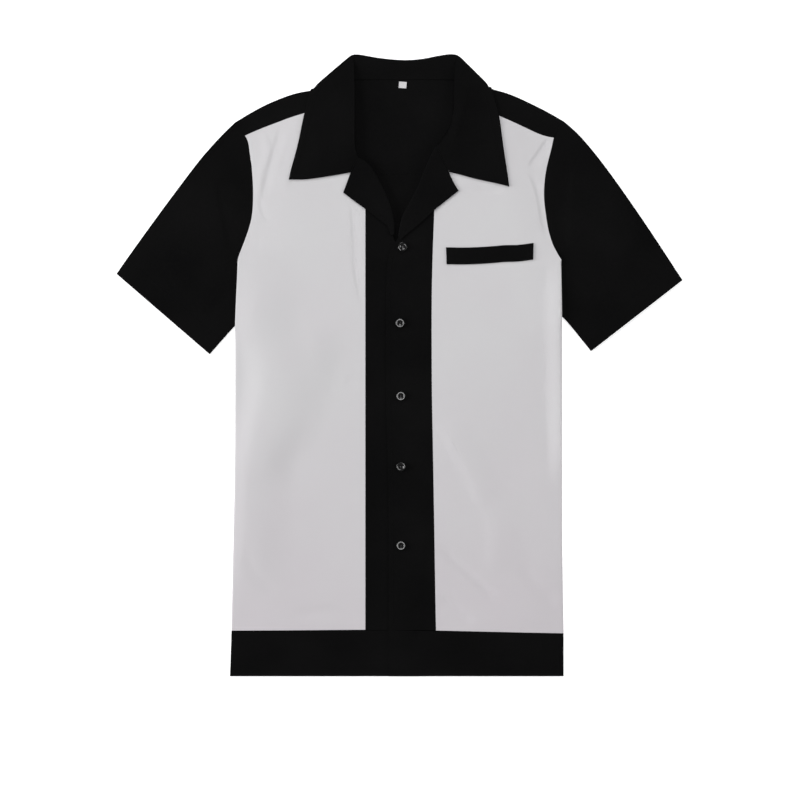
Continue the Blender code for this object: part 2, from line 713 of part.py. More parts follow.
def sleeve_plan(side, across, along, mouth):
    """Plan point of a sleeve: across from top edge to bottom edge, along from cuff to mouth."""
    sizes = SIDE[side]
    top = list(sizes["sleeve_top"][:0:-1]) + [mouth[0]]
    bottom = list(sizes["sleeve_bottom"][:0:-1]) + [mouth[-1]]
    cuff = mix(top[0], bottom[0], across)
    ruled = mix(cuff, walk(mouth, across), along)
    ruled = ruled + mix(walk(top, along), walk(bottom, along), across)
    near = mix(top[0], bottom[0], across)
    far = mix(mouth[0], mouth[-1], across)
    return ruled - mix(near, far, along)


def sleeve_height(x, y, across, along):
    """Middle of a sleeve's top sheet."""
    base = EDGE_HEIGHT + SLEEVE_RISE * math.sin(math.pi * across)
    joined = mix(base, top_height(x, y), between(along, SLEEVE_JOINS))
    under = between(abs(x), UNDER_BODY_X) * between(y, UNDER_BODY_Y)
    return mix(joined, FLOOR_PLY + PLY, under)


def mouth_stations(mouth, rim):
    """Fractions across a sleeve: its turned edges and each corner of its mouth."""
    length = reaches(mouth)[-1]
    shares = [reach / length for reach in reaches(mouth)]
    inside = [share for share in shares if rim * 1.5 < share < 1 - rim * 1.5]
    near = (1 - QUARTER) * rim
    return [0.0, near, rim] + inside + [1 - rim, 1 - near, 1.0]


def sleeve_sheet(side, along, mouth, top):
    """Half of a sleeve's section, from its top edge to its bottom edge."""
    radius = (EDGE_HEIGHT - FLOOR_PLY) / 2
    rim = radius / reaches(mouth)[-1]
    stations = mouth_stations(mouth, rim)
    fullness = [0.0, QUARTER] + [1.0] * (len(stations) - 4) + [QUARTER, 0.0]
    sheet = []
    for across, full in zip(stations, fullness):
        x, y = sleeve_plan(side, across, along, mouth)
        high = sleeve_height(x, y, across, along)
        middle = (high + FLOOR_PLY) / 2
        end = high if top else FLOOR_PLY
        sheet.append((x, y, mix(middle, end, full)))
    return sheet


def sleeve(side):
    """Flattened tube, open at the cuff and at the armhole."""
    rows = []
    for along in SLEEVE_ROWS:
        upper = sleeve_sheet(side, along, front_mouth(side), True)
        lower = sleeve_sheet(side, along, back_mouth(side), False)
        rows.append(upper + lower[-2:0:-1])
    cloth("sleeve_" + side, rows, black_cloth(), closed=True)


# Collar and lapels

def leaf_height(x, y, out, up=1.0):
    """Middle of the collar's leaf; out runs from its roll line to its edge, up from its foot."""
    loft = ROLL_LOFT * between(out, LOFT_FALLS) * mix(FOOT_LOFT, 1.0, between(up, FOOT_RISES))
    return top_height(x, y) + PLY + LEAF_CLEAR + loft


def leaf_plan(side, out, up):
    """Plan point of the leaf: out from roll line to edge, up from its foot to the shoulder."""
    sizes = SIDE[side]
    top_y = sizes["leaf_edge"][-1][0]
    roll = turned([row for row in sizes["roll"] if row[0] <= top_y])
    edge = turned(sizes["leaf_edge"])
    foot = sizes["leaf_foot"]
    ruled = mix(walk(roll, up), walk(edge, up), out)
    ruled = ruled + mix(walk(foot, out), mix(roll[-1], edge[-1], out), up)
    return ruled - mix(mix(foot[0], foot[-1], out), mix(roll[-1], edge[-1], out), up)


def rising_run(start, end, low, high, count):
    """Points from start to end whose height goes smoothly from low to high."""
    made = []
    for step in range(count + 1):
        share = step / count
        x, y = mix(start, end, share)
        made.append((x, y, mix(low, high, ease(share))))
    return made


def stand_line(seam, edge, out, high):
    """Line of the stand: from its seam, under the leaf, up into the leaf's inner edge."""
    joint = np.array(edge) + np.array(out) * STAND_IN
    return rising_run(seam[:2], joint, seam[2], high - STAND_FLOOR, STAND_FACES)


def front_seam(side, roll):
    """Point on the hidden neck seam beside a point of the roll line."""
    sign = SIDE[side]["sign"]
    seam_x = look(SIDE[side]["neck"], roll[1]) - sign * SEAM
    least = roll[0] + sign * (STAND_IN + STAND_LEAST)
    return (sign * max(sign * seam_x, sign * least), roll[1], top_height(*roll))


def foot_gather(side, rest):
    """Share of the leaf's foot beyond its first faces, such that a corner falls on the notch."""
    reach = reaches(SIDE[side]["leaf_foot"])
    notch = reach[1] / reach[-1]
    faces = round(notch * (LEAF_FACES + rest))
    return 1 - notch * LEAF_FACES / faces


def front_lines(side, up):
    """Lines of stand and fall through the collar at the front."""
    sizes = SIDE[side]
    roll = leaf_plan(side, 0.0, up)
    high = leaf_height(*roll, 0.0, up)
    seam = front_seam(side, roll)
    stand = stand_line(seam, roll, (sizes["sign"], 0.0), high)
    rest = TURN_STEPS + UNDER_FACES
    width = abs(sizes["leaf_edge"][-1][1] - roll[0])
    gather = mix(foot_gather(side, rest), FOLD_GATHER / width, ease(up))
    shares = [(1 - gather) * step / LEAF_FACES for step in range(LEAF_FACES)]
    shares += [1 - gather * (1 - step / rest) for step in range(rest + 1)]
    fall = []
    for out in shares:
        x, y = leaf_plan(side, out, up)
        fall.append((x, y, leaf_height(x, y, out, up)))
    return stand, fall


def neck_turn_point(side, share):
    """Seam end of the collar where it passes from the front round to the back."""
    neck = SIDE[side]["shoulder"][0]
    points = [(neck[0] - SIDE[side]["sign"] * x, neck[1] + y, z) for x, y, z in NECK_TURN]
    return walk(points, share)


def corner_lines(side, share):
    """Lines where the leaf folds under: share runs from the shoulder to the back roll."""
    sizes = SIDE[side]
    top_y, shoulder_x = sizes["leaf_edge"][-1]
    roll_y = mix(top_y, sizes["collar_corner"][1], share)
    roll = np.array((look(sizes["roll"], roll_y), roll_y))
    fold = mix((shoulder_x, top_y), sizes["collar_corner"], share)
    under = mix((shoulder_x, sizes["under_corner"][1]), sizes["under_corner"], share)
    seam = neck_turn_point(side, share)
    high = mix(leaf_height(*roll, 0.0), BACK_LOFT, share)
    stand = stand_line(seam, roll, toward(roll, fold), high)
    way = toward(fold, under)
    arc = turn(fold, toward(fold, roll), way, high, FLOOR_PLY)
    depth = max(np.linalg.norm(under - fold), (high - FLOOR_PLY) / 2 + CORNER_LAP)
    leaf = run(roll, arc[0], LEAF_FACES, lambda x, y: high)
    back = run(arc[-1], fold + way * depth, UNDER_FACES, level)
    return stand, leaf[:-1] + arc + back[1:]


def back_lines():
    """Lines along the back of the neck, from one corner to the other."""
    lines = []
    for step in range(BACK_SECTIONS + 1):
        share = step / BACK_SECTIONS
        roll = walk(BACK_ROLL, share)
        seam = mix(neck_turn_point("right", 1.0), neck_turn_point("left", 1.0), share)
        under = mix(SIDE["right"]["under_corner"], SIDE["left"]["under_corner"], share)
        inside = toward(roll, seam)
        arc = turn(roll, inside, toward(roll, under), BACK_LOFT, FLOOR_PLY)
        edge = np.array(arc[0][:2]) + inside * BACK_FLAT
        flat = run(edge, arc[0], LEAF_FACES, lambda x, y: BACK_LOFT)
        back = run(arc[-1], under, UNDER_FACES, level)
        stand = stand_line(seam, edge, -inside, BACK_LOFT)
        lines.append((stand, flat[:-1] + arc + back[1:]))
    return lines


def collar():
    """Camp collar: one piece, folded along its roll line and over the shoulders."""
    lines = [front_lines("right", up) for up in LEAF_ROWS]
    lines += [corner_lines("right", share) for share in CORNER_ROWS]
    lines += back_lines()
    lines += [corner_lines("left", share) for share in reversed(CORNER_ROWS)]
    lines += [front_lines("left", up) for up in reversed(LEAF_ROWS)]
    stand = cloth("collar_stand", [stand for stand, fall in lines], black_cloth())
    fall = cloth("collar", [fall for stand, fall in lines], black_cloth())
    join(fall, stand)


def join(piece, other):
    """Union of a piece with another, which becomes a hidden cutter."""
    union = piece.modifiers.new("joined", "BOOLEAN")
    union.operation = "UNION"
    union.object = other
    collection().objects.unlink(other)
    if "cutters" not in bpy.data.collections:
        made = bpy.data.collections.new("cutters")
        bpy.context.scene.collection.children.link(made)
    bpy.data.collections["cutters"].objects.link(other)
    other.hide_render = True
    other.display_type = "WIRE"


def lapel_line(side, line):
    """One line of a lapel: turned edge at the roll line, then out to its edge."""
    roll, edge = np.array(line[:2]), np.array(line[2:])
    base = top_height if side == "right" else lapped_height
    low = base(*roll)
    out = toward(roll, edge)
    arc = turn(roll, out, out, low, low + LAPEL_TURN * 2)
    start = np.array(arc[-1][:2])
    loft = LAPEL_TURN * 2 - PLY - LAPEL_CLEAR
    made = []
    for step in range(LAPEL_FACES + 1):
        x, y = mix(start, edge, step / LAPEL_FACES)
        reach = np.linalg.norm((x - start[0], y - start[1])) / LAPEL_SETTLE
        made.append((x, y, base(x, y) + PLY + LAPEL_CLEAR + loft * (1 - ease(reach))))
    return arc[:-1] + made


def lapel(side):
    """Facing turned outward above the break."""
    rows = [lapel_line(side, line) for line in lapel_lines(side)]
    cloth("lapel_" + side, rows, black_cloth())


# Small pieces

def pocket_welt():
    """Strip on the wearer's left front."""
    low_in, low_out, high_out, high_in = WELT_CORNERS
    up, along = WELT_FACES
    rows = []
    for step in range(up + 1):
        start = mix(low_in, high_in, step / up)
        end = mix(low_out, high_out, step / up)
        rows.append(run(start, end, along, lambda x, y: top_height(x, y) + PLY))
    cloth("pocket_welt", rows, black_cloth())


def button(index, centre):
    """Turned disc with a raised rim."""
    radius = BUTTON_DIAMETER / 2
    base = lapped_height(*centre) + WALL / 2 + SEAM
    inner = radius - BUTTON_RIM
    dish = BUTTON_HEIGHT - BUTTON_DISH
    profile = ((0.0, dish), (inner, dish), (inner + BUTTON_SLOPE, BUTTON_HEIGHT),
               (radius - BUTTON_ROUND, BUTTON_HEIGHT), (radius, BUTTON_HEIGHT - BUTTON_ROUND),
               (radius, BUTTON_FOOT), (radius - BUTTON_FOOT, 0.0), (0.0, 0.0))
    mesh = bpy.data.meshes.new("button_%d" % index)
    mesh.from_pydata([(r * MM, 0.0, z * MM) for r, z in profile],
                     [(step, step + 1) for step in range(len(profile) - 1)], [])
    mesh.materials.append(button_plastic())
    piece = bpy.data.objects.new(mesh.name, mesh)
    piece.location = (centre[0] * MM, centre[1] * MM, base * MM)
    collection().objects.link(piece)
    lathe = piece.modifiers.new("lathe", "SCREW")
    lathe.steps = BUTTON_SIDES
    lathe.render_steps = BUTTON_SIDES
    lathe.use_merge_vertices = True
    lathe.merge_threshold = 0.00001
    lathe.use_normal_calculate = True


def size_label():
    """Bare white label at the neck seam."""
    width, height = LABEL_SIZE
    x, y = LABEL_CENTRE
    rows = []
    for step in range(2):
        row_y = y - height / 2 + height * step
        rows.append(run((x - width / 2, row_y), (x + width / 2, row_y), 1,
                        lambda x, y: FLOOR_PLY + NECK_LIFT + PLY))
    cloth("size_label", rows, white_cloth())


def clear_scene():
    for item in list(bpy.data.objects):
        bpy.data.objects.remove(item, do_unlink=True)


def main():
    clear_scene()
    back_panel()
    yoke()
    front_band_right()
    front_band_left()
    for side in SIDE:
        front_panel(side)
        hem_band(side)
        sleeve(side)
        lapel(side)
    collar()
    pocket_welt()
    for index, centre in enumerate(BUTTON_CENTRES, start=1):
        button(index, centre)
    size_label()


main()
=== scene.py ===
# %% [markdown]
# # A two-tone bowling shirt, laid flat
#
# The shirt lies on its back on a pale floor: pale front panels, dark yoke, sleeves, collar and hem
# band. A frame of solids is already there. This script dresses each solid as real cloth, sews it
# and lights it. Lengths are written in millimetres, because that is how a shirt maker thinks, and
# become metres when a mesh is made.

# %% The frame
import math
import random

import bmesh
import bpy
import numpy as np
from mathutils import Matrix, Vector, noise
from mathutils.bvhtree import BVHTree


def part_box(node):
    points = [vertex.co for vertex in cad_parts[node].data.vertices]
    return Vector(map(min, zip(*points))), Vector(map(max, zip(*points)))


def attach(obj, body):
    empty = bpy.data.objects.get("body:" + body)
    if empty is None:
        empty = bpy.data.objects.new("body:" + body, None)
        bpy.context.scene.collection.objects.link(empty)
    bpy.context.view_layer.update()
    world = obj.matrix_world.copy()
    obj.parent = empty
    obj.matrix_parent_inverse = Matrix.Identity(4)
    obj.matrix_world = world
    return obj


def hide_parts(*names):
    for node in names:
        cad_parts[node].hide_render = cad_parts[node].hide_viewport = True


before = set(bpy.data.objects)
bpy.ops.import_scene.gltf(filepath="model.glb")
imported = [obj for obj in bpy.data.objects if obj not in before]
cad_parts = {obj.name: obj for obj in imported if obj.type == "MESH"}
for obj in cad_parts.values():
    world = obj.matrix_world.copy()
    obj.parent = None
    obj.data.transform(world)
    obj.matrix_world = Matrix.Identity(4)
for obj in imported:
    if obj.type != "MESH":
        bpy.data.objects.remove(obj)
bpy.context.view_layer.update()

MM = 0.001

# %% [markdown]
# ## Camera
#
# The shirt is seen from straight above. A long lens far away keeps the sleeves and the hem true
# to size, because near things hardly grow. The picture is square and one metre wide at the floor.

# %% Camera
PICTURE_WIDTH = 1.0             # metres of floor across the picture
CAMERA_HEIGHT = 2.5
PICTURE_CENTRE = (0.0006, -0.0439)
SENSOR = 36.0

lens = bpy.data.cameras.new("camera")
lens.sensor_width = SENSOR
lens.lens = SENSOR * CAMERA_HEIGHT / PICTURE_WIDTH
camera = bpy.data.objects.new("camera", lens)
camera.location = (*PICTURE_CENTRE, CAMERA_HEIGHT)
bpy.context.scene.collection.objects.link(camera)
bpy.context.scene.camera = camera
print("camera: lens", lens.lens, "mm")

# %% [markdown]
# ## Reckoning with nodes
#
# A material is a graph of small nodes. Written out one by one they hide what they do, so a small
# class wraps an output of a node. Its operators add Math nodes, and `node` adds any other kind.


# %% Node expressions
class Wire:
    """Output of a node that can be used in a sum."""

    def __init__(self, tree, socket=None):
        self.tree = tree
        self.socket = socket

    def node(self, kind, settings=None, inputs=None, output=0):
        """Node of any kind: its settings are set first, then its sockets' values or links."""
        made = self.tree.nodes.new(kind)
        for name, value in (settings or {}).items():
            if name == "stops":
                self.fill_ramp(made.color_ramp, value)
            else:
                setattr(made, name, value)
        for name, value in (inputs or {}).items():
            if isinstance(value, Wire):
                self.tree.links.new(value.socket, made.inputs[name])
            else:
                made.inputs[name].default_value = value
        return Wire(self.tree, made.outputs[output])

    @staticmethod
    def fill_ramp(ramp, stops):
        while len(ramp.elements) < len(stops):
            ramp.elements.new(0.5)
        for element, (place, grey) in zip(ramp.elements, stops):
            element.position = place
            element.color = (grey, grey, grey, 1.0)

    def math(self, operation, *values):
        return self.node("ShaderNodeMath", {"operation": operation}, dict(enumerate(values)))

    def __add__(self, other):
        return self.math("ADD", self, other)

    def __mul__(self, other):
        return self.math("MULTIPLY", self, other)

    __radd__ = __add__
    __rmul__ = __mul__

    def sine(self):
        return self.math("SINE", self)

    def blend(self, first, second):
        """Colour between two colours, by this wire as a share."""
        return self.node("ShaderNodeMix", {"data_type": "RGBA"},
                         {"Factor": self, 6: first, 7: second}, output=2)


# %% [markdown]
# ## Cloth
#
# Both cloths are a plain weave of fine cotton. Crossed sines give the bumps of warp and weft, and
# a long noise along each direction gives the slubs that make cotton look spun. The dye is never
# quite even, so a slow noise tints the colour. On the pale cloth more of the tint comes in towards
# the hem. That is painted shade: the cloth gets darker towards the hem, as if the light fell off
# from the collar down. Dark cotton hardly shines, so the gloss is turned far down.

# %% Cloth materials
THREAD = 0.62                   # from one thread to the next, mm
WEAVE_DEPTH = 0.05
SLUB_DEPTH = 0.05
SLUB_SIZE = 0.9
SLUB_GRAIN = 0.06               # how much slower a slub changes along its thread
WEAVE_TONE = 1.5                # how much the threads stand out in the colour
WEAVE_BUMP = 0.6
PATCHY = 0.6                    # share of the large patches in the tint, against the fine ones
# painted shade: between these places the pale cloth grows darker towards the hem
HEM_SHADE_SPAN = (-0.02, -0.34)         # the tint comes in between these places along the shirt, m


def new_material(name):
    made = bpy.data.materials.new(name)
    made.use_nodes = True
    return made, Wire(made.node_tree), made.node_tree.nodes["Principled BSDF"]


def slub(wire, place, grain):
    """Noise whose grain is drawn out along one direction."""
    moved = wire.node("ShaderNodeVectorMath", {"operation": "MULTIPLY"}, {0: place, 1: grain})
    return wire.node("ShaderNodeTexNoise", {},
                     {"Vector": moved, "Scale": 1 / (SLUB_SIZE * MM), "Detail": 2.0})


def weave_height(wire, place):
    """Height of the cloth's face, in mm."""
    across = wire.node("ShaderNodeSeparateXYZ", {}, {0: place})
    down = Wire(wire.tree, across.socket.node.outputs[1])
    pitch = math.pi / (THREAD * MM)
    crossed = (across * pitch).sine() * (down * pitch).sine()
    slubs = slub(wire, place, (1.0, SLUB_GRAIN, 1.0)) + slub(wire, place, (SLUB_GRAIN, 1.0, 1.0))
    return crossed * WEAVE_DEPTH + slubs * SLUB_DEPTH


def cotton(name, colour, tint, hem_shade_share, roughness, gloss, sheen):
    """Woven cotton: a colour with patches of a tint, and by a share more of the tint towards the hem,
    as painted shade.
    """
    made, wire, shader = new_material(name)
    place = wire.node("ShaderNodeTexCoord", output=3)
    patches = wire.node("ShaderNodeTexNoise", {}, {"Vector": place, "Scale": 9.0, "Detail": 3.0})
    fine = wire.node("ShaderNodeTexNoise", {}, {"Vector": place, "Scale": 240.0, "Detail": 2.0})
    share = wire.node("ShaderNodeValToRGB", {"stops": ((0.35, 0.0), (0.68, 1.0))}, {0: patches})
    down = wire.node("ShaderNodeSeparateXYZ", {}, {0: place}, output=1)
    # painted shade: more of the tint towards the hem, as if the light fell off from the collar down
    hem_shade = wire.node("ShaderNodeMapRange", {}, {0: down, 1: HEM_SHADE_SPAN[0], 2: HEM_SHADE_SPAN[1]})
    height = weave_height(wire, place)
    patched = share * PATCHY + fine * (1 - PATCHY)
    mottled = patched * (1 - hem_shade_share) + hem_shade * hem_shade_share + height * WEAVE_TONE
    base = mottled.blend((*colour, 1.0), (*tint, 1.0))
    bump = wire.node("ShaderNodeBump", {}, {"Height": height, "Distance": MM,
                                            "Strength": WEAVE_BUMP})
    made.node_tree.links.new(base.socket, shader.inputs["Base Color"])
    made.node_tree.links.new(bump.socket, shader.inputs["Normal"])
    shader.inputs["Roughness"].default_value = roughness
    shader.inputs["Specular IOR Level"].default_value = gloss
    shader.inputs["Sheen Weight"].default_value = sheen
    shader.inputs["Sheen Roughness"].default_value = 0.5
    return made


BLACK = cotton("black_weave", (0.0026, 0.0026, 0.0027), (0.0048, 0.0047, 0.0048),
               hem_shade_share=0.0, roughness=0.95, gloss=0.02, sheen=0.0)
# painted shade: the pale cloth is made darker towards the hem by the share below
WHITE = cotton("white_weave", (0.528, 0.527, 0.535), (0.502, 0.474, 0.499),
               hem_shade_share=0.6, roughness=0.9, gloss=0.1, sheen=0.03)
print("materials:", [material.name for material in (BLACK, WHITE)])

# %% [markdown]
# ## From a solid to a sheet
#
# Each solid is one sheet of cloth with two skins, 1 mm apart, and a narrow rim. Cloth is easier
# to crease as a single surface, so the skins are told apart by the sharp edges between them and
# the rim. The skin that is wanted is kept and moved half a wall inwards, which gives the sheet in
# the middle of the solid. Its faces are then sorted out: flat neighbours become one, and what is
# left is cut up into well-shaped triangles and quads, because long slivers would show as scratches.

# %% Middle sheets
WALL = 1.0                      # thickness of the cloth in the frame
RIM_ANGLE = math.radians(62)    # an edge that is sharper parts a skin from the rim
WELD = 0.01                     # vertices that are closer become one, mm
FLAT_ANGLE = math.radians(0.3)  # below it two faces count as one plane
SOFT_ANGLE = math.radians(6)    # below it the edge between two triangles may be flipped
JOIN_ANGLE = math.radians(40)   # below it two triangles may become a quad
QUAD_SHAPE = math.radians(45)   # most that such a quad's corners may differ
CORNER_ANGLE = math.radians(28)         # turn of the sheet's edge that counts as a corner
FLAT_SHARE = 0.4                # least share of a sheet that faces one way if it is flat


def skins(bm):
    """Groups of faces that are joined without a sharp edge, the largest area first."""
    seen = set()
    found = []
    for start in bm.faces:
        if start in seen:
            continue
        seen.add(start)
        group = [start]
        for face in group:                      # the list grows while it is read
            for edge in face.edges:
                if len(edge.link_faces) != 2 or edge.calc_face_angle(0.0) > RIM_ANGLE:
                    continue
                for other in edge.link_faces:
                    if other not in seen:
                        seen.add(other)
                        group.append(other)
        found.append(group)
    return sorted(found, key=lambda group: -sum(face.calc_area() for face in group))


def middle_sheet(name, ranks=(0,)):
    """Sheet in the middle of a solid's wall; ranks are the skins that it is made from."""
    bm = bmesh.new()
    bm.from_mesh(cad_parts[name].data)
    bmesh.ops.remove_doubles(bm, verts=bm.verts, dist=WELD * MM)
    bm.normal_update()
    ranked = skins(bm)
    kept = {face for rank in ranks for face in ranked[rank]}
    bmesh.ops.delete(bm, geom=[face for face in bm.faces if face not in kept], context="FACES")
    bm.normal_update()
    for vert in bm.verts:
        vert.co -= vert.normal * WALL / 2 * MM
    bm.normal_update()
    bmesh.ops.dissolve_limit(bm, angle_limit=FLAT_ANGLE, verts=bm.verts, edges=bm.edges)
    bmesh.ops.triangulate(bm, faces=bm.faces)
    soft = [edge for edge in bm.edges if edge.calc_face_angle(math.pi) < SOFT_ANGLE]
    bmesh.ops.beautify_fill(bm, faces=bm.faces, edges=soft, method="ANGLE")
    bmesh.ops.join_triangles(bm, faces=bm.faces, angle_face_threshold=JOIN_ANGLE,
                             angle_shape_threshold=QUAD_SHAPE)
    bm.verts.index_update()
    return bm


def face_out(bm):
    """Turns a flat sheet's faces up, and those of a sheet that wraps round away from its middle."""
    bm.normal_update()
    shares = [(face.normal.z * face.calc_area(), face.calc_center_median().z) for face in bm.faces]
    rise = sum(share for share, z in shares)
    if abs(rise) < FLAT_SHARE * sum(face.calc_area() for face in bm.faces):
        middle = sum(z for share, z in shares) / len(shares)
        rise = sum(share * (z - middle) for share, z in shares)
    if rise < 0:
        bmesh.ops.reverse_faces(bm, faces=bm.faces)
        bm.normal_update()


def mark_corners(bm):
    """Creases the vertices where the sheet's edge turns, so that smoothing keeps them."""
    layer = bm.verts.layers.float.new("crease_vert")
    for vert in bm.verts:
        rim = [edge for edge in vert.link_edges if edge.is_boundary]
        if len(rim) == 2:
            first, second = (edge.other_vert(vert).co - vert.co for edge in rim)
            if math.pi - first.angle(second, 0.0) > CORNER_ANGLE:
                vert[layer] = 1.0


def new_object(name, mesh):
    made = bpy.data.objects.new(name, mesh)
    bpy.context.scene.collection.objects.link(made)
    return made


def applied(piece):
    """Mesh of an object with its modifiers, and the object removed."""
    ready = piece.evaluated_get(bpy.context.evaluated_depsgraph_get())
    mesh = bpy.data.meshes.new_from_object(ready)
    bpy.data.objects.remove(piece)
    return mesh


# %% [markdown]
# ## Creases
#
# A shirt that was folded and laid out keeps soft folds. Each one is a line on the plan, in mm,
# with a height and the width of its two flanks. Left and right are seen when going along the
# line. One field of heights serves every sheet that lies on top, so that seams stay closed and
# what lies on a panel follows it. The back rests on the floor and gets shallower folds of its own.

# %% Crease tables
# (line, width to the left, width to the right, height); a trough's height is negative
FRONT_CREASES = (
    # wearer's right panel: the flank along the side, then the long slanting fold
    (((-174, 128), (-178, 80), (-180, 48), (-171, 14), (-168, -18), (-173, -58), (-181, -96),
      (-188, -140), (-192, -200), (-195, -280), (-196, -330)), 60, 30, 3.0),
    (((-100, 66), (-112, 16), (-126, -30), (-140, -74), (-164, -104), (-184, -158)), 44, 75, 2.3),
    (((-146, 300), (-160, 252), (-171, 206)), 11, 6, -0.55),
    (((-172, 296), (-164, 268), (-172, 238), (-177, 200)), 6, 9, 0.45),
    (((-118, 292), (-130, 256), (-148, 214)), 9, 14, 0.4),
    (((-176, 208), (-170, 190), (-163, 178)), 9, 5, -0.4),
    (((-60, 206), (-57, 162), (-56, 128), (-52, 100), (-44, 70)), 12, 5, -0.5),
    (((-68, -18), (-52, -20), (-40, -22)), 9, 9, -0.4),
    (((-140, -318), (-110, -309), (-80, -308), (-60, -316), (-42, -322)), 12, 12, -0.5),
    (((-196, -230), (-178, -262), (-150, -285)), 12, 14, -0.5),
    # wearer's left panel: the fold at the armhole, the flank along the side, slanting folds
    (((188, 284), (178, 270), (168, 255), (161, 243)), 13, 5, -0.9),
    (((161, 243), (170, 224), (176, 200), (179, 180), (186, 156)), 10, 5, -0.8),
    (((179, 140), (179, 60), (180, -14), (183, -80), (186, -150)), 22, 90, -1.2),
    (((201, 150), (200, 60), (201, -14), (202, -80), (203, -170)), 7, 20, 2.5),
    (((48, -66), (66, -92), (86, -128), (100, -158), (116, -190)), 34, 16, 1.1),
    (((46, -224), (66, -242), (94, -266), (126, -298)), 12, 10, -0.9),
    (((126, -160), (122, -200), (122, -262)), 40, 22, 0.7),
    (((48, -288), (68, -302), (94, -322)), 10, 12, -0.7),
    (((150, -250), (176, -280), (200, -300)), 14, 14, -0.6),
    (((96, 226), (112, 216), (132, 224)), 8, 8, -0.4),
    # sleeves
    (((-226, 232), (-220, 195), (-210, 144)), 16, 8, -0.9),
    (((-212, 92), (-230, 72), (-245, 55)), 10, 12, -0.6),
    (((-300, 150), (-280, 120), (-268, 90)), 18, 14, 0.5),
    (((212, 264), (206, 188), (208, 137)), 9, 20, -1.0),
    (((232, 120), (250, 84), (262, 60)), 12, 12, -0.5),
    (((300, 170), (280, 130), (274, 96)), 16, 18, 0.5),
    # collar leaf, bands and hem bands
    (((84, 336), (74, 304), (67, 276)), 8, 8, 0.6),
    (((-112, 300), (-100, 270), (-98, 246)), 12, 10, 0.4),
    (((-30, 60), (-10, 40), (20, 46)), 10, 10, -0.3),
    (((-36, -60), (-8, -78), (30, -70)), 12, 10, -0.35),
    (((-34, -180), (0, -200), (34, -176)), 10, 12, 0.3),
    (((-180, -345), (-150, -370), (-110, -380)), 10, 12, 0.35),
    (((60, -350), (110, -368), (170, -362)), 12, 10, -0.35),
)
BACK_CREASES = (
    (((-150, 180), (-60, 60), (-20, -60)), 30, 26, 0.4),
    (((140, 120), (90, 20), (100, -120)), 26, 30, 0.4),
    (((-130, -120), (-40, -220), (60, -260)), 30, 30, 0.35),
    (((150, -180), (80, -260), (40, -340)), 24, 28, 0.35),
)
CREASE_ENDS = 0.22              # share of a crease's length over which each end dies out
CURVE_STEPS = 6
UNDULATION = 0.32               # height of the slow waves that every cloth has, mm
UNDULATION_SIZE = 75.0
RIPPLE = 0.07                   # height of the small waves on top of them, mm
RIPPLE_SIZE = 26.0
NOISE_SLICES = (0.3, 7.7)       # where the noise is cut for the slow and the small waves
LOW_SHEETS = (1.3, 2.5)         # heights between which the front's creases come in, mm
FAR = 1e9


# %% Crease heights
def ease(value):
    """0 below 0, 1 above 1 and a smooth step between, for numbers or arrays."""
    value = np.clip(value, 0.0, 1.0)
    return value * value * (3 - 2 * value)


def curved(points):
    """Smooth line through points."""
    line = np.array(points, float)
    line = np.vstack([2 * line[0] - line[1], line, 2 * line[-1] - line[-2]])
    made = []
    for index in range(1, len(line) - 2):
        a, b, c, d = line[index - 1:index + 3]
        for step in range(CURVE_STEPS):
            t = step / CURVE_STEPS
            made.append(0.5 * (2 * b + (c - a) * t + (2 * a - 5 * b + 4 * c - d) * t * t
                               + (3 * b - a - 3 * c + d) * t ** 3))
    return np.array(made + [line[-2]])


def reaches(line):
    """Length of a line up to each of its points."""
    return np.concatenate(([0.0], np.cumsum(np.linalg.norm(np.diff(line, axis=0), axis=1))))


def beside(plan, line):
    """For each plan point: distance from a line, above 0 on its left, and share of its length."""
    reach = reaches(line)
    nearest = np.full(len(plan), FAR)
    side = np.zeros(len(plan))
    along = np.zeros(len(plan))
    for index, step in enumerate(np.diff(line, axis=0)):
        off = plan - line[index]
        share = np.clip(off @ step / (step @ step), 0.0, 1.0)
        rest = off - share[:, None] * step
        distance = np.linalg.norm(rest, axis=1)
        closer = distance < nearest
        nearest = np.where(closer, distance, nearest)
        side = np.where(closer, step[0] * rest[:, 1] - step[1] * rest[:, 0], side)
        here = (reach[index] + share * (reach[index + 1] - reach[index])) / reach[-1]
        along = np.where(closer, here, along)
    return nearest, side, along


def crease(plan, points, left, right, height):
    """Height of one crease at many plan points."""
    nearest, side, along = beside(plan, curved(points))
    width = np.where(side > 0, left, right)
    ends = ease(along / CREASE_ENDS) * ease((1 - along) / CREASE_ENDS)
    return height * ease(1 - nearest / width) * ends


def waves(plan):
    """Slow and small waves in the cloth."""
    made = []
    for x, y in plan:
        slow = noise.noise((x / UNDULATION_SIZE, y / UNDULATION_SIZE, NOISE_SLICES[0]))
        quick = noise.noise((x / RIPPLE_SIZE, y / RIPPLE_SIZE, NOISE_SLICES[1]))
        made.append(UNDULATION * slow + RIPPLE * quick)
    return np.array(made)


def lift(points):
    """How far each point (x, y, z) in mm is moved up by creases and waves."""
    plan = points[:, :2]
    upper = ease((points[:, 2] - LOW_SHEETS[0]) / (LOW_SHEETS[1] - LOW_SHEETS[0]))
    above = waves(plan) + sum(crease(plan, *row) for row in FRONT_CREASES)
    below = sum(crease(plan, *row) for row in BACK_CREASES)
    return upper * above + (1 - upper) * below


def creased(bm):
    """Moves a sheet's vertices by the creases."""
    points = np.array([vert.co for vert in bm.verts]) / MM
    for vert, rise in zip(bm.verts, lift(points)):
        vert.co.z += rise * MM
    bm.normal_update()


# %% [markdown]
# ## Fine meshes
#
# A crease needs several faces across its flank, or it shows as a bent plate. A fine mesh all over
# would be heavy, so edges are halved only until they suit the narrowest crease that they touch.

# %% Refining
REFINE_STEPS = 6
FACES_ACROSS = 3.4              # faces across a crease's flank
CREASE_REACH = 1.15             # how far past its flank a crease asks for small faces
SMALLEST = 1.7                  # no face is asked to be smaller, mm


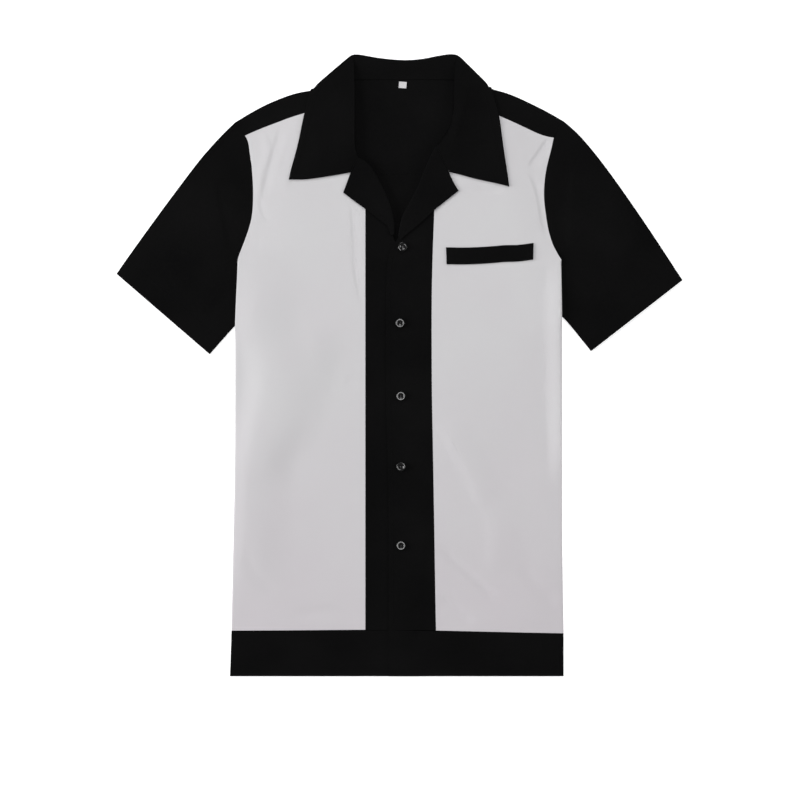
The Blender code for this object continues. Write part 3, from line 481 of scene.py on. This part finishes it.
def wanted_length(plan, longest):
    """Longest edge that each plan point allows, in mm."""
    wanted = np.full(len(plan), longest)
    for points, left, right, _ in FRONT_CREASES:
        nearest, side, _ = beside(plan, curved(points))
        width = np.where(side > 0, left, right)
        close = nearest < width * CREASE_REACH
        suited = np.maximum(width / FACES_ACROSS, SMALLEST)
        wanted = np.where(close, np.minimum(wanted, suited), wanted)
    return wanted


def refined(bm, levels, longest):
    """Smooth fine mesh of a sheet, with no edge longer than longest in mm."""
    mark_corners(bm)
    mesh = bpy.data.meshes.new("sheet")
    bm.to_mesh(mesh)
    bm.free()
    rough = new_object("sheet", mesh)
    smooth = rough.modifiers.new("smooth", "SUBSURF")
    smooth.levels = levels
    smooth.boundary_smooth = "PRESERVE_CORNERS"
    fine = bmesh.new()
    fine.from_mesh(applied(rough))
    for _ in range(REFINE_STEPS):
        ends = np.array([[vert.co for vert in edge.verts] for edge in fine.edges]) / MM
        lengths = np.linalg.norm(ends[:, 0] - ends[:, 1], axis=1)
        too_long = lengths > wanted_length(ends.mean(axis=1)[:, :2], longest)
        if not too_long.any():
            break
        chosen = [edge for edge, long in zip(fine.edges, too_long) if long]
        bmesh.ops.subdivide_edges(fine, edges=chosen, cuts=1, use_grid_fill=True)
    face_out(fine)
    return fine


# %% [markdown]
# ## From a sheet to cloth
#
# A sheet becomes cloth again with Solidify, and a small bevel rounds its rim the way a turned and
# pressed edge is round. Each edge is let out a little, so that two pieces meet at their seam and
# no light comes up between them. The loops of its rim are kept for the needle: they say where an
# edge runs and which way is inwards.

# %% Cloth pieces
CLOTH = 0.9                     # thickness of the finished cloth with its turned edges
LET_OUT = 0.12
RIM_ROUND = 0.32                # width of the bevel round its edge, mm
RIM_SHARP = math.radians(60)    # the bevel takes only edges that are sharper
MITRE = 2.0                     # most that a corner is moved out, against its edges
SHEETS = {}                     # piece: middle sheet, as a tree, and its rims
AREAS = {}                      # piece: flat area in square metres


def outward(bm):
    """For each vertex of the rim, the way out in the sheet's own plane, mitred at corners."""
    ways = {}
    for edge in bm.edges:
        if edge.is_boundary:
            face = edge.link_faces[0]
            out = (edge.verts[1].co - edge.verts[0].co).cross(face.normal).normalized()
            if out.dot(face.calc_center_median() - edge.verts[0].co) > 0:
                out.negate()
            for vert in edge.verts:
                ways[vert] = ways.get(vert, Vector()) + out
    return {vert: way.normalized() * min(2 / way.length, MITRE) for vert, way in ways.items()}


def rims(bm):
    """Loops of vertices round the sheet's edges, in order."""
    left = {vert for edge in bm.edges if edge.is_boundary for vert in edge.verts}
    loops = []
    for start in bm.verts:
        if start not in left:
            continue
        loop = [start]
        for vert in loop:                       # the list grows while it is read
            left.discard(vert)
            for edge in vert.link_edges:
                other = edge.other_vert(vert)
                if edge.is_boundary and other in left:
                    loop.append(other)
                    left.discard(other)
                    break
        loops.append(loop)
    return loops


def thicken(piece, thickness, rounding):
    wall = piece.modifiers.new("wall", "SOLIDIFY")
    wall.thickness = thickness * MM
    wall.offset = 0.0
    rim = piece.modifiers.new("rim", "BEVEL")
    rim.width = rounding * MM
    rim.segments = 2
    rim.limit_method = "ANGLE"
    rim.angle_limit = RIM_SHARP
    shade = piece.modifiers.new("shade", "WEIGHTED_NORMAL")
    shade.keep_sharp = True


def finished(piece, finish, nodes=()):
    """Gives a piece its finish, hangs it on the root body and hides the solids that it stands for."""
    piece.data.materials.append(finish)
    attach(piece, "root")
    if nodes:
        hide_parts(*nodes)
    return piece


def cloth_piece(name, sheet, finish, nodes):
    """Finished cloth from a refined sheet, standing for its solids."""
    AREAS[name] = sum(face.calc_area() for face in sheet.faces)
    creased(sheet)
    out = outward(sheet)
    for vert, way in out.items():
        vert.co += way * LET_OUT * MM
    loops = []
    for loop in rims(sheet):
        places = np.array([vert.co for vert in loop]) / MM
        loops.append((places, -np.array([out[vert] for vert in loop])))
    SHEETS[name] = (BVHTree.FromBMesh(sheet), loops)
    for face in sheet.faces:
        face.smooth = True
    mesh = bpy.data.meshes.new(name)
    sheet.to_mesh(mesh)
    sheet.free()
    piece = new_object(name, mesh)
    thicken(piece, CLOTH, RIM_ROUND)
    return finished(piece, finish, nodes)


# %% [markdown]
# ## Body, yoke and sleeves
#
# The body is cut from the pale cloth and everything that frames it from the dark one. Each piece
# of the pattern is its own sheet, so that the seams between them are real edges. The pocket welt
# is sewn on by hand and eye, so it sags a little between its ends.

# %% Sag of the welt
# (x, how far the welt lies above its straight place there) in mm
WELT_SAG = ((50, -0.4), (58, -0.6), (66, -1.2), (76, -1.9), (90, -2.5), (106, -2.6), (120, -2.4),
            (131, -2.0), (145, -2.5), (155, -2.1), (167, -1.1), (175, -0.9))


def sagged(bm, table):
    """Moves a sheet along the shirt by the amounts of a table."""
    line = curved(table)
    for vert in bm.verts:
        vert.co.y += float(np.interp(vert.co.x / MM, line[:, 0], line[:, 1])) * MM


# %% Flat pieces
# node: (levels of smoothing, longest edge in mm, finish, slot)
DARK, PALE = (BLACK, "black_cotton"), (WHITE, "white_cotton")
FLAT = {
    "back_panel": (2, 12.0, *DARK),
    "yoke": (2, 7.0, *DARK),
    "front_panel_right": (2, 7.0, *PALE),
    "front_panel_left": (2, 7.0, *PALE),
    "front_band_right": (2, 9.0, *DARK),
    "front_band_left": (2, 9.0, *DARK),
    "hem_band_right": (2, 7.0, *DARK),
    "hem_band_left": (2, 7.0, *DARK),
    "sleeve_right": (2, 8.0, *DARK),
    "sleeve_left": (2, 8.0, *DARK),
    "lapel_right": (2, 5.0, *DARK),
    "lapel_left": (2, 5.0, *DARK),
    "pocket_welt": (2, 5.0, *DARK),
}
for node, (levels, longest, finish, slot_name) in FLAT.items():
    sheet = refined(middle_sheet(node), levels, longest)
    if node == "pocket_welt":
        sagged(sheet, WELT_SAG)
    print(node, len(sheet.faces), "faces")
    cloth_piece(node + "_cloth", sheet, finish, [node])

# %% [markdown]
# ## Collar
#
# The collar's solid is a leaf that folds over and a stand under it. Both skins are taken. The
# stand's upper edge is lowered under the leaf, and the two edges are bridged, so that the leaf
# rolls softly into the stand instead of being cut off along the neck.

# %% Collar
ROLL_ENDS = ((-51.9, 258.6), (45.6, 272.4))     # right and left end of the roll line
ROLL_BACK = (7.0, 377.0)
LEAF_RANK, STAND_RANK = 1, 2
ROLL_DEPTH = 1.7                # from the leaf to the stand under it, beside the roll
ROLL_DEPTH_Y = (372.0, 340.0)   # at the back the stand comes straight out of the leaf
ROLL_FACES = 3


def rim_part(places, start, via, end):
    """Indices from start to end along a closed loop of points, by the way that passes via."""
    def nearest(place):
        return int(np.argmin(np.linalg.norm(places[:, :2] - place, axis=1)))

    first, last = nearest(start), nearest(end)
    ways = [[(first + step * count) % len(places)
             for count in range(step * (last - first) % len(places) + 1)] for step in (1, -1)]
    return min(ways, key=lambda way: np.linalg.norm(places[way, :2] - via, axis=1).min())


def roll_edge(bm):
    """Vertices along the roll line on a sheet of the collar."""
    loop = max(rims(bm), key=len)
    places = np.array([vert.co for vert in loop]) / MM
    return [loop[index] for index in rim_part(places, ROLL_ENDS[0], ROLL_BACK, ROLL_ENDS[1])]


def rim_edges(verts):
    """Rim edges between neighbours in a row of vertices."""
    found = []
    for vert, other in zip(verts, verts[1:]):
        found += [edge for edge in vert.link_edges if edge.is_boundary and other in edge.verts]
    return found


def collar_sheet():
    """Leaf and stand joined by the roll between them."""
    leaf = middle_sheet("collar", (LEAF_RANK,))
    stand = middle_sheet("collar", (STAND_RANK,))
    for vert in roll_edge(stand):
        share = (ROLL_DEPTH_Y[0] - vert.co.y / MM) / (ROLL_DEPTH_Y[0] - ROLL_DEPTH_Y[1])
        vert.co.z -= ROLL_DEPTH * float(ease(share)) * MM
    joined = bmesh.new()
    rolls = []
    for part in (leaf, stand):
        rolls.append([len(joined.verts) + vert.index for vert in roll_edge(part)])
        mesh = bpy.data.meshes.new("part")
        part.to_mesh(mesh)
        part.free()
        joined.from_mesh(mesh)
    joined.verts.ensure_lookup_table()
    edges = []
    for roll in rolls:
        edges += rim_edges([joined.verts[index] for index in roll])
    made = bmesh.ops.bridge_loops(joined, edges=edges)
    bmesh.ops.subdivide_edges(joined, edges=made["edges"], cuts=ROLL_FACES - 1)
    print("collar: roll bridged by", len(made["faces"]), "faces")
    return joined


cloth_piece("collar_cloth", refined(collar_sheet(), 2, 6.0), BLACK, ["collar"])

# %% [markdown]
# ## Needle and thread
#
# Topstitching is a row of short thread bars, 2.4 mm long, that dip into the cloth at both ends.
# Painting them on would look flat from the side, so each bar is a tiny bent tube. A row follows
# a stretch of a piece's rim at a fixed distance inside it, and every point is put on the cloth by
# asking for the nearest spot of its sheet.

# %% Stitches
STITCH = 2.4                    # length of one stitch, mm
STITCH_GAP = 0.6
THREAD_WIDTH = 0.42
THREAD_SIDES = 5
BEND = ((0.0, -0.16, 0.7), (0.16, 0.05, 1.0), (0.5, 0.11, 1.0), (0.84, 0.05, 1.0),
        (1.0, -0.16, 0.7))      # share of the stitch, height over the cloth, share of its width
WANDER = 0.05                   # how far a stitch strays sideways, mm
KEEP_OFF = 0.93                 # least distance from the rim, against the wanted one
# painted shade: the grooves of the twist are coloured darker than its strands
TWIST_TONE = 1.5                # how much lighter the thread's strands are than its grooves
SEWING = random.Random(11)


def thread_material(name, colour):
    """Polished cotton thread with a fine twist."""
    made, wire, shader = new_material(name)
    place = wire.node("ShaderNodeTexCoord", output=3)
    twist = wire.node("ShaderNodeTexNoise", {}, {"Vector": place, "Scale": 2600.0, "Detail": 1.0})
    lighter = tuple(value * TWIST_TONE for value in colour)
    # painted shade: the noise that raises the strands also colours the grooves darker
    base = twist.blend((*colour, 1.0), (*lighter, 1.0))
    bump = wire.node("ShaderNodeBump", {}, {"Height": twist, "Distance": 0.1 * MM, "Strength": 0.5})
    made.node_tree.links.new(base.socket, shader.inputs["Base Color"])
    made.node_tree.links.new(bump.socket, shader.inputs["Normal"])
    shader.inputs["Roughness"].default_value = 0.8
    shader.inputs["Specular IOR Level"].default_value = 0.06
    return made


BLACK_THREAD = thread_material("black_thread", (0.003, 0.003, 0.0032))


def seam_line(name, start, via, end, inset):
    """Line on a piece, inset from the stretch of its rim that goes from start by via to end."""
    places, inward = min(SHEETS[name][1], key=lambda loop: sum(
        np.linalg.norm(loop[0][:, :2] - spot, axis=1).min() for spot in (start, via, end)))
    way = rim_part(places, start, via, end)
    line = places[way] + inward[way] * inset
    off = beside(line[:, :2], places[way][:, :2])[0]
    return line[off > inset * KEEP_OFF]


def round_line(name, inset):
    """Line all round a tube's mouth, the one furthest from the middle."""
    places, inward = max(SHEETS[name][1], key=lambda loop: np.abs(loop[0][:, 0]).mean())
    line = places + inward * inset
    return np.vstack([line, line[:1]])


def along(line, distances):
    """Points at distances along a line."""
    reach = reaches(line)
    return np.column_stack([np.interp(distances, reach, line[:, axis]) for axis in range(3)])


def stitch_ring(centre, way, normal, width):
    """Ring of points round the thread."""
    across = way.cross(normal).normalized()
    turns = [2 * math.pi * step / THREAD_SIDES for step in range(THREAD_SIDES)]
    return [(centre + width / 2 * (across * math.cos(turn) + normal * math.sin(turn))) * MM
            for turn in turns]


def wound(bm, rings):
    """Surface of a thread from ring to ring."""
    for ring, after in zip(rings, rings[1:]):
        for step in range(THREAD_SIDES):
            ahead = (step + 1) % THREAD_SIDES
            bm.faces.new((ring[step], ring[ahead], after[ahead], after[step]))


def add_stitch(bm, tree, spots):
    """One bent bar of thread through spots on a sheet, closed at both ends."""
    stray = SEWING.uniform(-WANDER, WANDER)
    way = Vector(spots[-1] - spots[0]).normalized()
    rings = []
    for spot, (_, rise, part) in zip(spots, BEND):
        place, normal = tree.find_nearest(Vector(spot) * MM)[:2]
        centre = place / MM + normal * (CLOTH / 2 + rise) + way.cross(normal) * stray
        centre.z = max(centre.z, THREAD_WIDTH / 2)
        ring = stitch_ring(centre, way, normal, THREAD_WIDTH * part)
        rings.append([bm.verts.new(point) for point in ring])
    wound(bm, rings)
    bm.faces.new(rings[0][::-1])
    bm.faces.new(rings[-1])


def sew(name, sheet_name, lines, finish):
    """One piece with the stitches of several lines on a sheet."""
    tree = SHEETS[sheet_name][0]
    shares = np.array([row[0] for row in BEND]) * STITCH
    bm = bmesh.new()
    for line in lines:
        for start in np.arange(STITCH_GAP, reaches(line)[-1] - STITCH, STITCH + STITCH_GAP):
            add_stitch(bm, tree, along(line, start + shares))
    return stitched(name, bm, finish)


def stitched(name, bm, finish):
    """Piece from a mesh of thread."""
    bmesh.ops.recalc_face_normals(bm, faces=bm.faces)
    for face in bm.faces:
        face.smooth = True
    mesh = bpy.data.meshes.new(name)
    bm.to_mesh(mesh)
    print(name, len(bm.faces), "faces")
    bm.free()
    return finished(new_object(name, mesh), finish)


# %% [markdown]
# ## Seams
#
# The collar and the lapels are edge stitched a foot's width in, the front edge likewise. Where
# two colours meet, the dark piece is felled down close to the seam. The sleeve hems are turned up
# 22 mm and stitched all round. The yoke is felled on the back as well.

# %% Seam tables
EDGE = 5.0                      # foot's width from an edge, mm
FELL = 1.6                      # beside a seam
CUFF = 22.0                     # turned-up hem of a sleeve
# piece: (start, a point on the way, end, distance inside the rim)
SEAMS = {
    "collar_cloth": (((-62, 239), (-138, 231), (-110, 344), EDGE),
                     ((62, 240), (137, 222), (114, 346), EDGE)),
    "lapel_right_cloth": (((-61, 240), (-70, 215), (-12, 165), EDGE),),
    "lapel_left_cloth": (((62, 240), (74, 217), (2, 158), EDGE),),
    "front_band_left_cloth": (((-13, -330), (-17, 50), (-8, 148), EDGE),
                              ((46, -330), (40, 0), (43.5, 230), FELL)),
    "front_band_right_cloth": (((-42.6, -330), (-42.6, 0), (-42.6, 190), FELL),),
    "hem_band_right_cloth": (((-211, -332), (-100, -330), (16, -331), FELL),),
    "hem_band_left_cloth": (((-12, -331), (100, -333), (204, -335), FELL),),
    "yoke_cloth": (((-84, 327), (-137, 308), (-192, 286), FELL),
                   ((94, 324), (136, 305), (192, 284), FELL),
                   ((-176, 238.2), (0, 238.2), (176, 238.2), FELL)),
    "pocket_welt_cloth": (((58.8, 126.1), (110, 129), (166.6, 132.4), FELL),
                          ((58.1, 147), (110, 150), (167.1, 153), FELL)),
}

# %% Sewing
STITCHING = {}                  # piece: the stitches on it
for name, rows in SEAMS.items():
    lines = [seam_line(name, *row) for row in rows]
    STITCHING[name] = sew(name.replace("_cloth", "_stitches"), name, lines, BLACK_THREAD)
for side in ("right", "left"):
    name = "sleeve_" + side + "_cloth"
    STITCHING[name] = sew("sleeve_" + side + "_stitches", name, [round_line(name, CUFF)],
                          BLACK_THREAD)

# %% [markdown]
# ## Buttons
#
# Shirt buttons are turned from a rod: a round rim, a shallow dish and four holes. The profile is
# spun with the Screw modifier, and a Boolean drills the holes. The polished rim mirrors the lamp
# above it, so the buttons that lie flat show a light ring. The two that hang a little askew on
# their thread mirror the dark instead.

# %% Button material
def button_material():
    made, wire, shader = new_material("polished_resin")
    place = wire.node("ShaderNodeTexCoord", output=3)
    cloud = wire.node("ShaderNodeTexNoise", {}, {"Vector": place, "Scale": 420.0, "Detail": 3.0})
    base = cloud.blend((0.003, 0.003, 0.0033, 1.0), (0.008, 0.0075, 0.008, 1.0))
    wear = wire.node("ShaderNodeTexNoise", {}, {"Vector": place, "Scale": 1900.0, "Detail": 2.0})
    made.node_tree.links.new(base.socket, shader.inputs["Base Color"])
    made.node_tree.links.new((wear * 0.06 + 0.08).socket, shader.inputs["Roughness"])
    shader.inputs["Specular IOR Level"].default_value = 0.6
    return made


RESIN = button_material()

# %% Button shape
BUTTON_STEPS = 48
BUTTON_HEIGHT = 2.2
# profile from the dish's middle over the rim and round to the foot: (radius, height)
BUTTON_PROFILE = ((0.0, 0.99), (0.5, 1.05), (1.4, 1.32), (2.4, 1.63), (3.2, 1.9), (3.5, 2.02),
                  (3.65, 2.14), (3.8, 2.2), (4.5, 2.2), (5.15, 2.19), (5.35, 2.1), (5.5, 1.95),
                  (5.65, 1.65), (5.7, 1.3), (5.6, 0.95), (5.2, 0.5), (4.5, 0.15), (3.6, 0.0),
                  (0.0, 0.0))
HOLE_PLACE = 1.15               # of each hole from the middle, both ways
HOLE_RADIUS = 0.62
HOLE_SIDES = 20
HOLE_DEEP = 4.0                 # length of the drill
# (node, turn of the holes, tilt, way of the tilt), in degrees
BUTTONS = (("button_1", 12.0, 8.8, 10.0), ("button_2", -6.0, 0.8, 40.0),
           ("button_3", 21.0, 1.0, 200.0), ("button_4", 3.0, 8.8, 200.0),
           ("button_5", -14.0, 1.2, 90.0))


def turned(points, steps):
    """Mesh object of a profile spun round Z."""
    mesh = bpy.data.meshes.new("turned")
    mesh.from_pydata([(r * MM, 0.0, z * MM) for r, z in points],
                     [(step, step + 1) for step in range(len(points) - 1)], [])
    piece = new_object("turned", mesh)
    lathe = piece.modifiers.new("lathe", "SCREW")
    lathe.steps = lathe.render_steps = steps
    lathe.use_merge_vertices = True
    lathe.merge_threshold = WELD * MM
    lathe.use_normal_calculate = True
    return piece


def drills():
    """Object of four drills."""
    bm = bmesh.new()
    for x, y in HOLES:
        bmesh.ops.create_cone(bm, cap_ends=True, segments=HOLE_SIDES, radius1=HOLE_RADIUS * MM,
                              radius2=HOLE_RADIUS * MM, depth=HOLE_DEEP * MM,
                              matrix=Matrix.Translation((x * MM, y * MM, BUTTON_HEIGHT / 2 * MM)))
    mesh = bpy.data.meshes.new("drills")
    bm.to_mesh(mesh)
    bm.free()
    return new_object("drills", mesh)


HOLES = [(x * HOLE_PLACE, y * HOLE_PLACE) for x in (-1, 1) for y in (-1, 1)]
drill = drills()
blank = turned(BUTTON_PROFILE, BUTTON_STEPS)
bore = blank.modifiers.new("holes", "BOOLEAN")
bore.operation = "DIFFERENCE"
bore.object = drill
BUTTON_MESH = applied(blank)
bpy.data.objects.remove(drill)
print("button:", len(BUTTON_MESH.polygons), "faces")

# %% Button thread
THREAD_CROSS = 0.5              # width of the threads through the holes
THREAD_APART = 0.22             # of each of a pair from the line through its holes
THREAD_DIP = 0.5                # how deep the threads start in the holes
DISH = 1.39                     # height of the dish beside the holes
# profile of the winding between button and cloth: (radius, height)
SHANK = ((0.0, 0.9), (1.1, 0.9), (1.5, 0.6), (1.5, 0.0), (1.9, -0.5), (0.0, -0.5))
THREAD_RISE = 0.28              # top of the threads over the dish


def bar(bm, start, end, width, rise):
    """Bent bar of thread between two points in mm, arched upwards."""
    way = (end - start).normalized()
    up = Vector((0.0, 0.0, 1.0))
    rings = []
    for share, _, part in BEND:
        centre = start.lerp(end, share) + up * rise * (1 - (2 * share - 1) ** 4)
        rings.append([bm.verts.new(p) for p in stitch_ring(centre, way, up, width * part)])
    wound(bm, rings)


def button_thread():
    """Threads of one button: two pairs across its holes and the shank under it."""
    bm = bmesh.new()
    for x in (-HOLE_PLACE, HOLE_PLACE):
        for shift in (-THREAD_APART, THREAD_APART):
            start = Vector((x + shift, -HOLE_PLACE, DISH - THREAD_DIP))
            end = Vector((x + shift, HOLE_PLACE, DISH - THREAD_DIP))
            bar(bm, start, end, THREAD_CROSS, THREAD_RISE + THREAD_DIP)
    shank = turned(SHANK, HOLE_SIDES)
    bm.from_mesh(applied(shank))
    mesh = bpy.data.meshes.new("button_thread")
    bmesh.ops.recalc_face_normals(bm, faces=bm.faces)
    bm.to_mesh(mesh)
    bm.free()
    return mesh


# %% Buttons sewn on
BUTTON_LIFT = 0.25              # how far a button stands over its solid's foot
SMOOTH_ANGLE = math.radians(35)
THREADS = []


def sewn_on(name, mesh, place, finish, nodes=()):
    """Piece from a mesh that is moved to its place."""
    mesh.transform(place)
    mesh.polygons.foreach_set("use_smooth", [True] * len(mesh.polygons))
    mesh.set_sharp_from_angle(angle=SMOOTH_ANGLE)
    return finished(new_object(name, mesh), finish, nodes)


for node, spin, tilt, way in BUTTONS:
    low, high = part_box(node)
    foot = Vector(((low[0] + high[0]) / 2, (low[1] + high[1]) / 2, low[2] + BUTTON_LIFT * MM))
    lean = Matrix.Rotation(math.radians(way), 4, "Z") @ Matrix.Rotation(math.radians(tilt), 4, "Y")
    place = Matrix.Translation(foot) @ lean @ Matrix.Rotation(math.radians(spin - way), 4, "Z")
    sewn_on(node + "_turned", BUTTON_MESH.copy(), place, RESIN, [node])
    THREADS.append(sewn_on(node + "_thread", button_thread(), place, BLACK_THREAD))
print("buttons:", len(BUTTONS))

# %% [markdown]
# ## Buttonholes
#
# Each buttonhole is a slit edged with close satin stitches and barred at its ends. The button
# hides most of it, only the ends look out above and below.

# %% Buttonholes
HOLE_LENGTH = 14.5              # of the slit, mm
SATIN_PITCH = 0.55
SATIN = (0.25, 1.35)            # from the slit to the ends of the satin stitches
BARS = 5                        # stitches of the bar at each end
LAP = "front_band_left_cloth"


def buttonhole(bm, tree, x, y):
    """Satin stitches on both sides of a slit, and a bar at each end."""
    count = int(HOLE_LENGTH / SATIN_PITCH)
    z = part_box("button_1")[0][2] / MM
    for step in range(count + 1):
        place = y - HOLE_LENGTH / 2 + step * SATIN_PITCH
        inner = 0.0 if min(step, count - step) < BARS else SATIN[0]
        for side in (-1, 1):
            ends = np.array([(x + side * inner, place, z), (x + side * SATIN[1], place, z)])
            shares = np.array([row[0] for row in BEND])[:, None]
            add_stitch(bm, tree, ends[0] * (1 - shares) + ends[1] * shares)


holes = bmesh.new()
for node, *_ in BUTTONS:
    middle = (np.array(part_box(node)[0]) + np.array(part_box(node)[1])) / 2 / MM
    buttonhole(holes, SHEETS[LAP][0], middle[0], middle[1])
BUTTONHOLES = stitched("buttonholes", holes, BLACK_THREAD)

# %% [markdown]
# ## Size tab
#
# A folded bit of tape is caught in the neck seam. It stays bare. It is one strip that goes down,
# turns and comes back up, a little askew, as tabs are.

# %% Size tab
TAB_WALL = 0.28
TAB_GAP = 0.42                  # between the two layers' middles
TAB_TILT = math.radians(-4)
TAB_CURL = (0.2, 0.5)           # how far its lower corners lift, left and right
TAB_LIFT = CLOTH / 2 + TAB_WALL / 2 + 0.03      # of its lower layer's middle over the yoke's
TAB_COLUMNS, TAB_ROWS, TAB_TURN = 12, 10, 5


def tab_path(length):
    """Where the tape goes, seen from its side: down, round the turn and back up."""
    down = [(length * (0.5 - step / TAB_ROWS), 0.0) for step in range(TAB_ROWS + 1)]
    turn = []
    for step in range(1, TAB_TURN):
        angle = math.pi * step / TAB_TURN
        turn.append((-length / 2 - TAB_GAP / 2 * math.sin(angle), TAB_GAP * (1 - math.cos(angle)) / 2))
    return down + turn + [(y, TAB_GAP) for y, _ in down[::-1]]


def size_tab():
    """Folded tape on the yoke, at the neck seam."""
    low, high = (np.array(corner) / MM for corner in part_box("size_label"))
    width, length = (high - low)[:2]
    middle = Vector(((low[0] + high[0]) / 2, (low[1] + high[1]) / 2, high[2]))
    tree = SHEETS["yoke_cloth"][0]
    bm = bmesh.new()
    rows = []
    for y, z in tab_path(length):
        row = []
        for step in range(TAB_COLUMNS + 1):
            share = step / TAB_COLUMNS
            spot = Vector((width * (share - 0.5), y, 0.0))
            spot.rotate(Matrix.Rotation(TAB_TILT, 3, "Z"))
            spot += middle
            curl = float(ease(0.5 - y / length)) * (TAB_CURL[0] + (TAB_CURL[1] - TAB_CURL[0]) * share)
            spot.z = tree.find_nearest(spot * MM)[0].z / MM + TAB_LIFT + z + curl
            row.append(bm.verts.new(spot * MM))
        rows.append(row)
    for row, after in zip(rows, rows[1:]):
        for step in range(TAB_COLUMNS):
            bm.faces.new((row[step], row[step + 1], after[step + 1], after[step]))
    for face in bm.faces:
        face.smooth = True
    mesh = bpy.data.meshes.new("size_tab")
    bm.to_mesh(mesh)
    bm.free()
    piece = new_object("size_tab", mesh)
    thicken(piece, TAB_WALL, TAB_WALL / 4)
    return finished(piece, WHITE, ["size_label"])


TAB = size_tab()
print("size tab:", len(TAB.data.polygons), "faces")

# %% [markdown]
# ## What was cut
#
# Every sheet says the size of cloth that it was cut from, the smallest rectangle that holds its
# flat shape, and how much of that is left after cutting.

# %% Cuts
# node: (width, length in mm, what it lies on)
CUTS = {
    "back_panel": (356, 627, ["floor"]),
    "yoke": (409, 192, ["back_panel_cloth"]),
    "front_panel_right": (236, 676, ["back_panel_cloth"]),
    "front_panel_left": (222, 676, ["back_panel_cloth"]),
    "front_band_right": (61, 577, ["back_panel_cloth"]),
    "front_band_left": (63, 579, ["front_band_right_cloth"]),
    "hem_band_right": (282, 60, ["back_panel_cloth"]),
    "hem_band_left": (264, 60, ["hem_band_right_cloth"]),
    "sleeve_right": (420, 250, ["floor"]),
    "sleeve_left": (420, 250, ["floor"]),
    "lapel_right": (65, 97, ["front_band_right_cloth", "front_panel_right_cloth"]),
    "lapel_left": (77, 117, ["front_band_left_cloth", "front_panel_left_cloth"]),
    "pocket_welt": (110, 27, ["front_panel_left_cloth"]),
    "collar": (470, 110, ["yoke_cloth", "front_panel_right_cloth", "front_panel_left_cloth"]),
}
for node, (width, length, below) in CUTS.items():
    name = node + "_cloth"
    extra = [STITCHING[name]] if name in STITCHING else []
    if node == "yoke":
        extra.append(TAB)
    if name == LAP:
        extra += [BUTTONHOLES, *THREADS]
    kept = AREAS[name] / (width * length * MM ** 2)
    print(name, "cut", width, "x", length, "mm, keeps", round(kept, 2))

# %% [markdown]
# ## Floor and light
#
# A lamp above is mirrored by the buttons, and one behind the collar draws the edges of the leaf
# and the lapels. The brightest is low on the wearer's right side, because only light that skims
# the cloth shows its folds. The floor is brighter than the cloth, so that it burns out to white.

# %% Floor
FLOOR_SIZE = 40.0
FLOOR_DROP = 0.05               # below the lowest threads, mm
floor_mesh = bpy.data.meshes.new("floor")
half = FLOOR_SIZE / 2
floor_mesh.from_pydata([(-half, -half, 0), (half, -half, 0), (half, half, 0), (-half, half, 0)], [],
                       [(0, 1, 2, 3)])
floor = new_object("floor", floor_mesh)
floor.location.z = -FLOOR_DROP * MM
floor_finish, _, floor_shader = new_material("floor")
floor_shader.inputs["Base Color"].default_value = (0.95, 0.95, 0.95, 1.0)
floor_shader.inputs["Roughness"].default_value = 1.0
floor_shader.inputs["Specular IOR Level"].default_value = 0.0
floor_shader.inputs["Emission Color"].default_value = (1.0, 1.0, 1.0, 1.0)
floor_shader.inputs["Emission Strength"].default_value = 0.4
floor_mesh.materials.append(floor_finish)


# %% Lamps
# (name, place in m, size in m, power in W)
LAMPS = (("overhead", (0.0, -0.14, 3.0), 1.0, 27.0),
         ("behind", (0.0, 2.6, 2.2), 2.0, 42.0),
         ("low", (-5.0, 0.1, 1.85), 3.0, 320.0),
         ("fill", (4.0, 0.1, 1.8), 2.4, 68.0))
SKY = 0.17                      # brightness of the plain sky


def lamp(name, place, size, power):
    """Square lamp that looks at the shirt."""
    data = bpy.data.lights.new(name, "AREA")
    data.shape = "SQUARE"
    data.size = size
    data.energy = power
    made = bpy.data.objects.new(name, data)
    made.location = place
    made.rotation_euler = (-Vector(place)).to_track_quat("-Z", "Y").to_euler()
    bpy.context.scene.collection.objects.link(made)


for row in LAMPS:
    lamp(*row)
sky = bpy.data.worlds.new("sky")
sky.use_nodes = True
sky.node_tree.nodes["Background"].inputs["Color"].default_value = (1.0, 1.0, 1.0, 1.0)
sky.node_tree.nodes["Background"].inputs["Strength"].default_value = SKY
bpy.context.scene.world = sky
bpy.context.scene.view_settings.view_transform = "Standard"
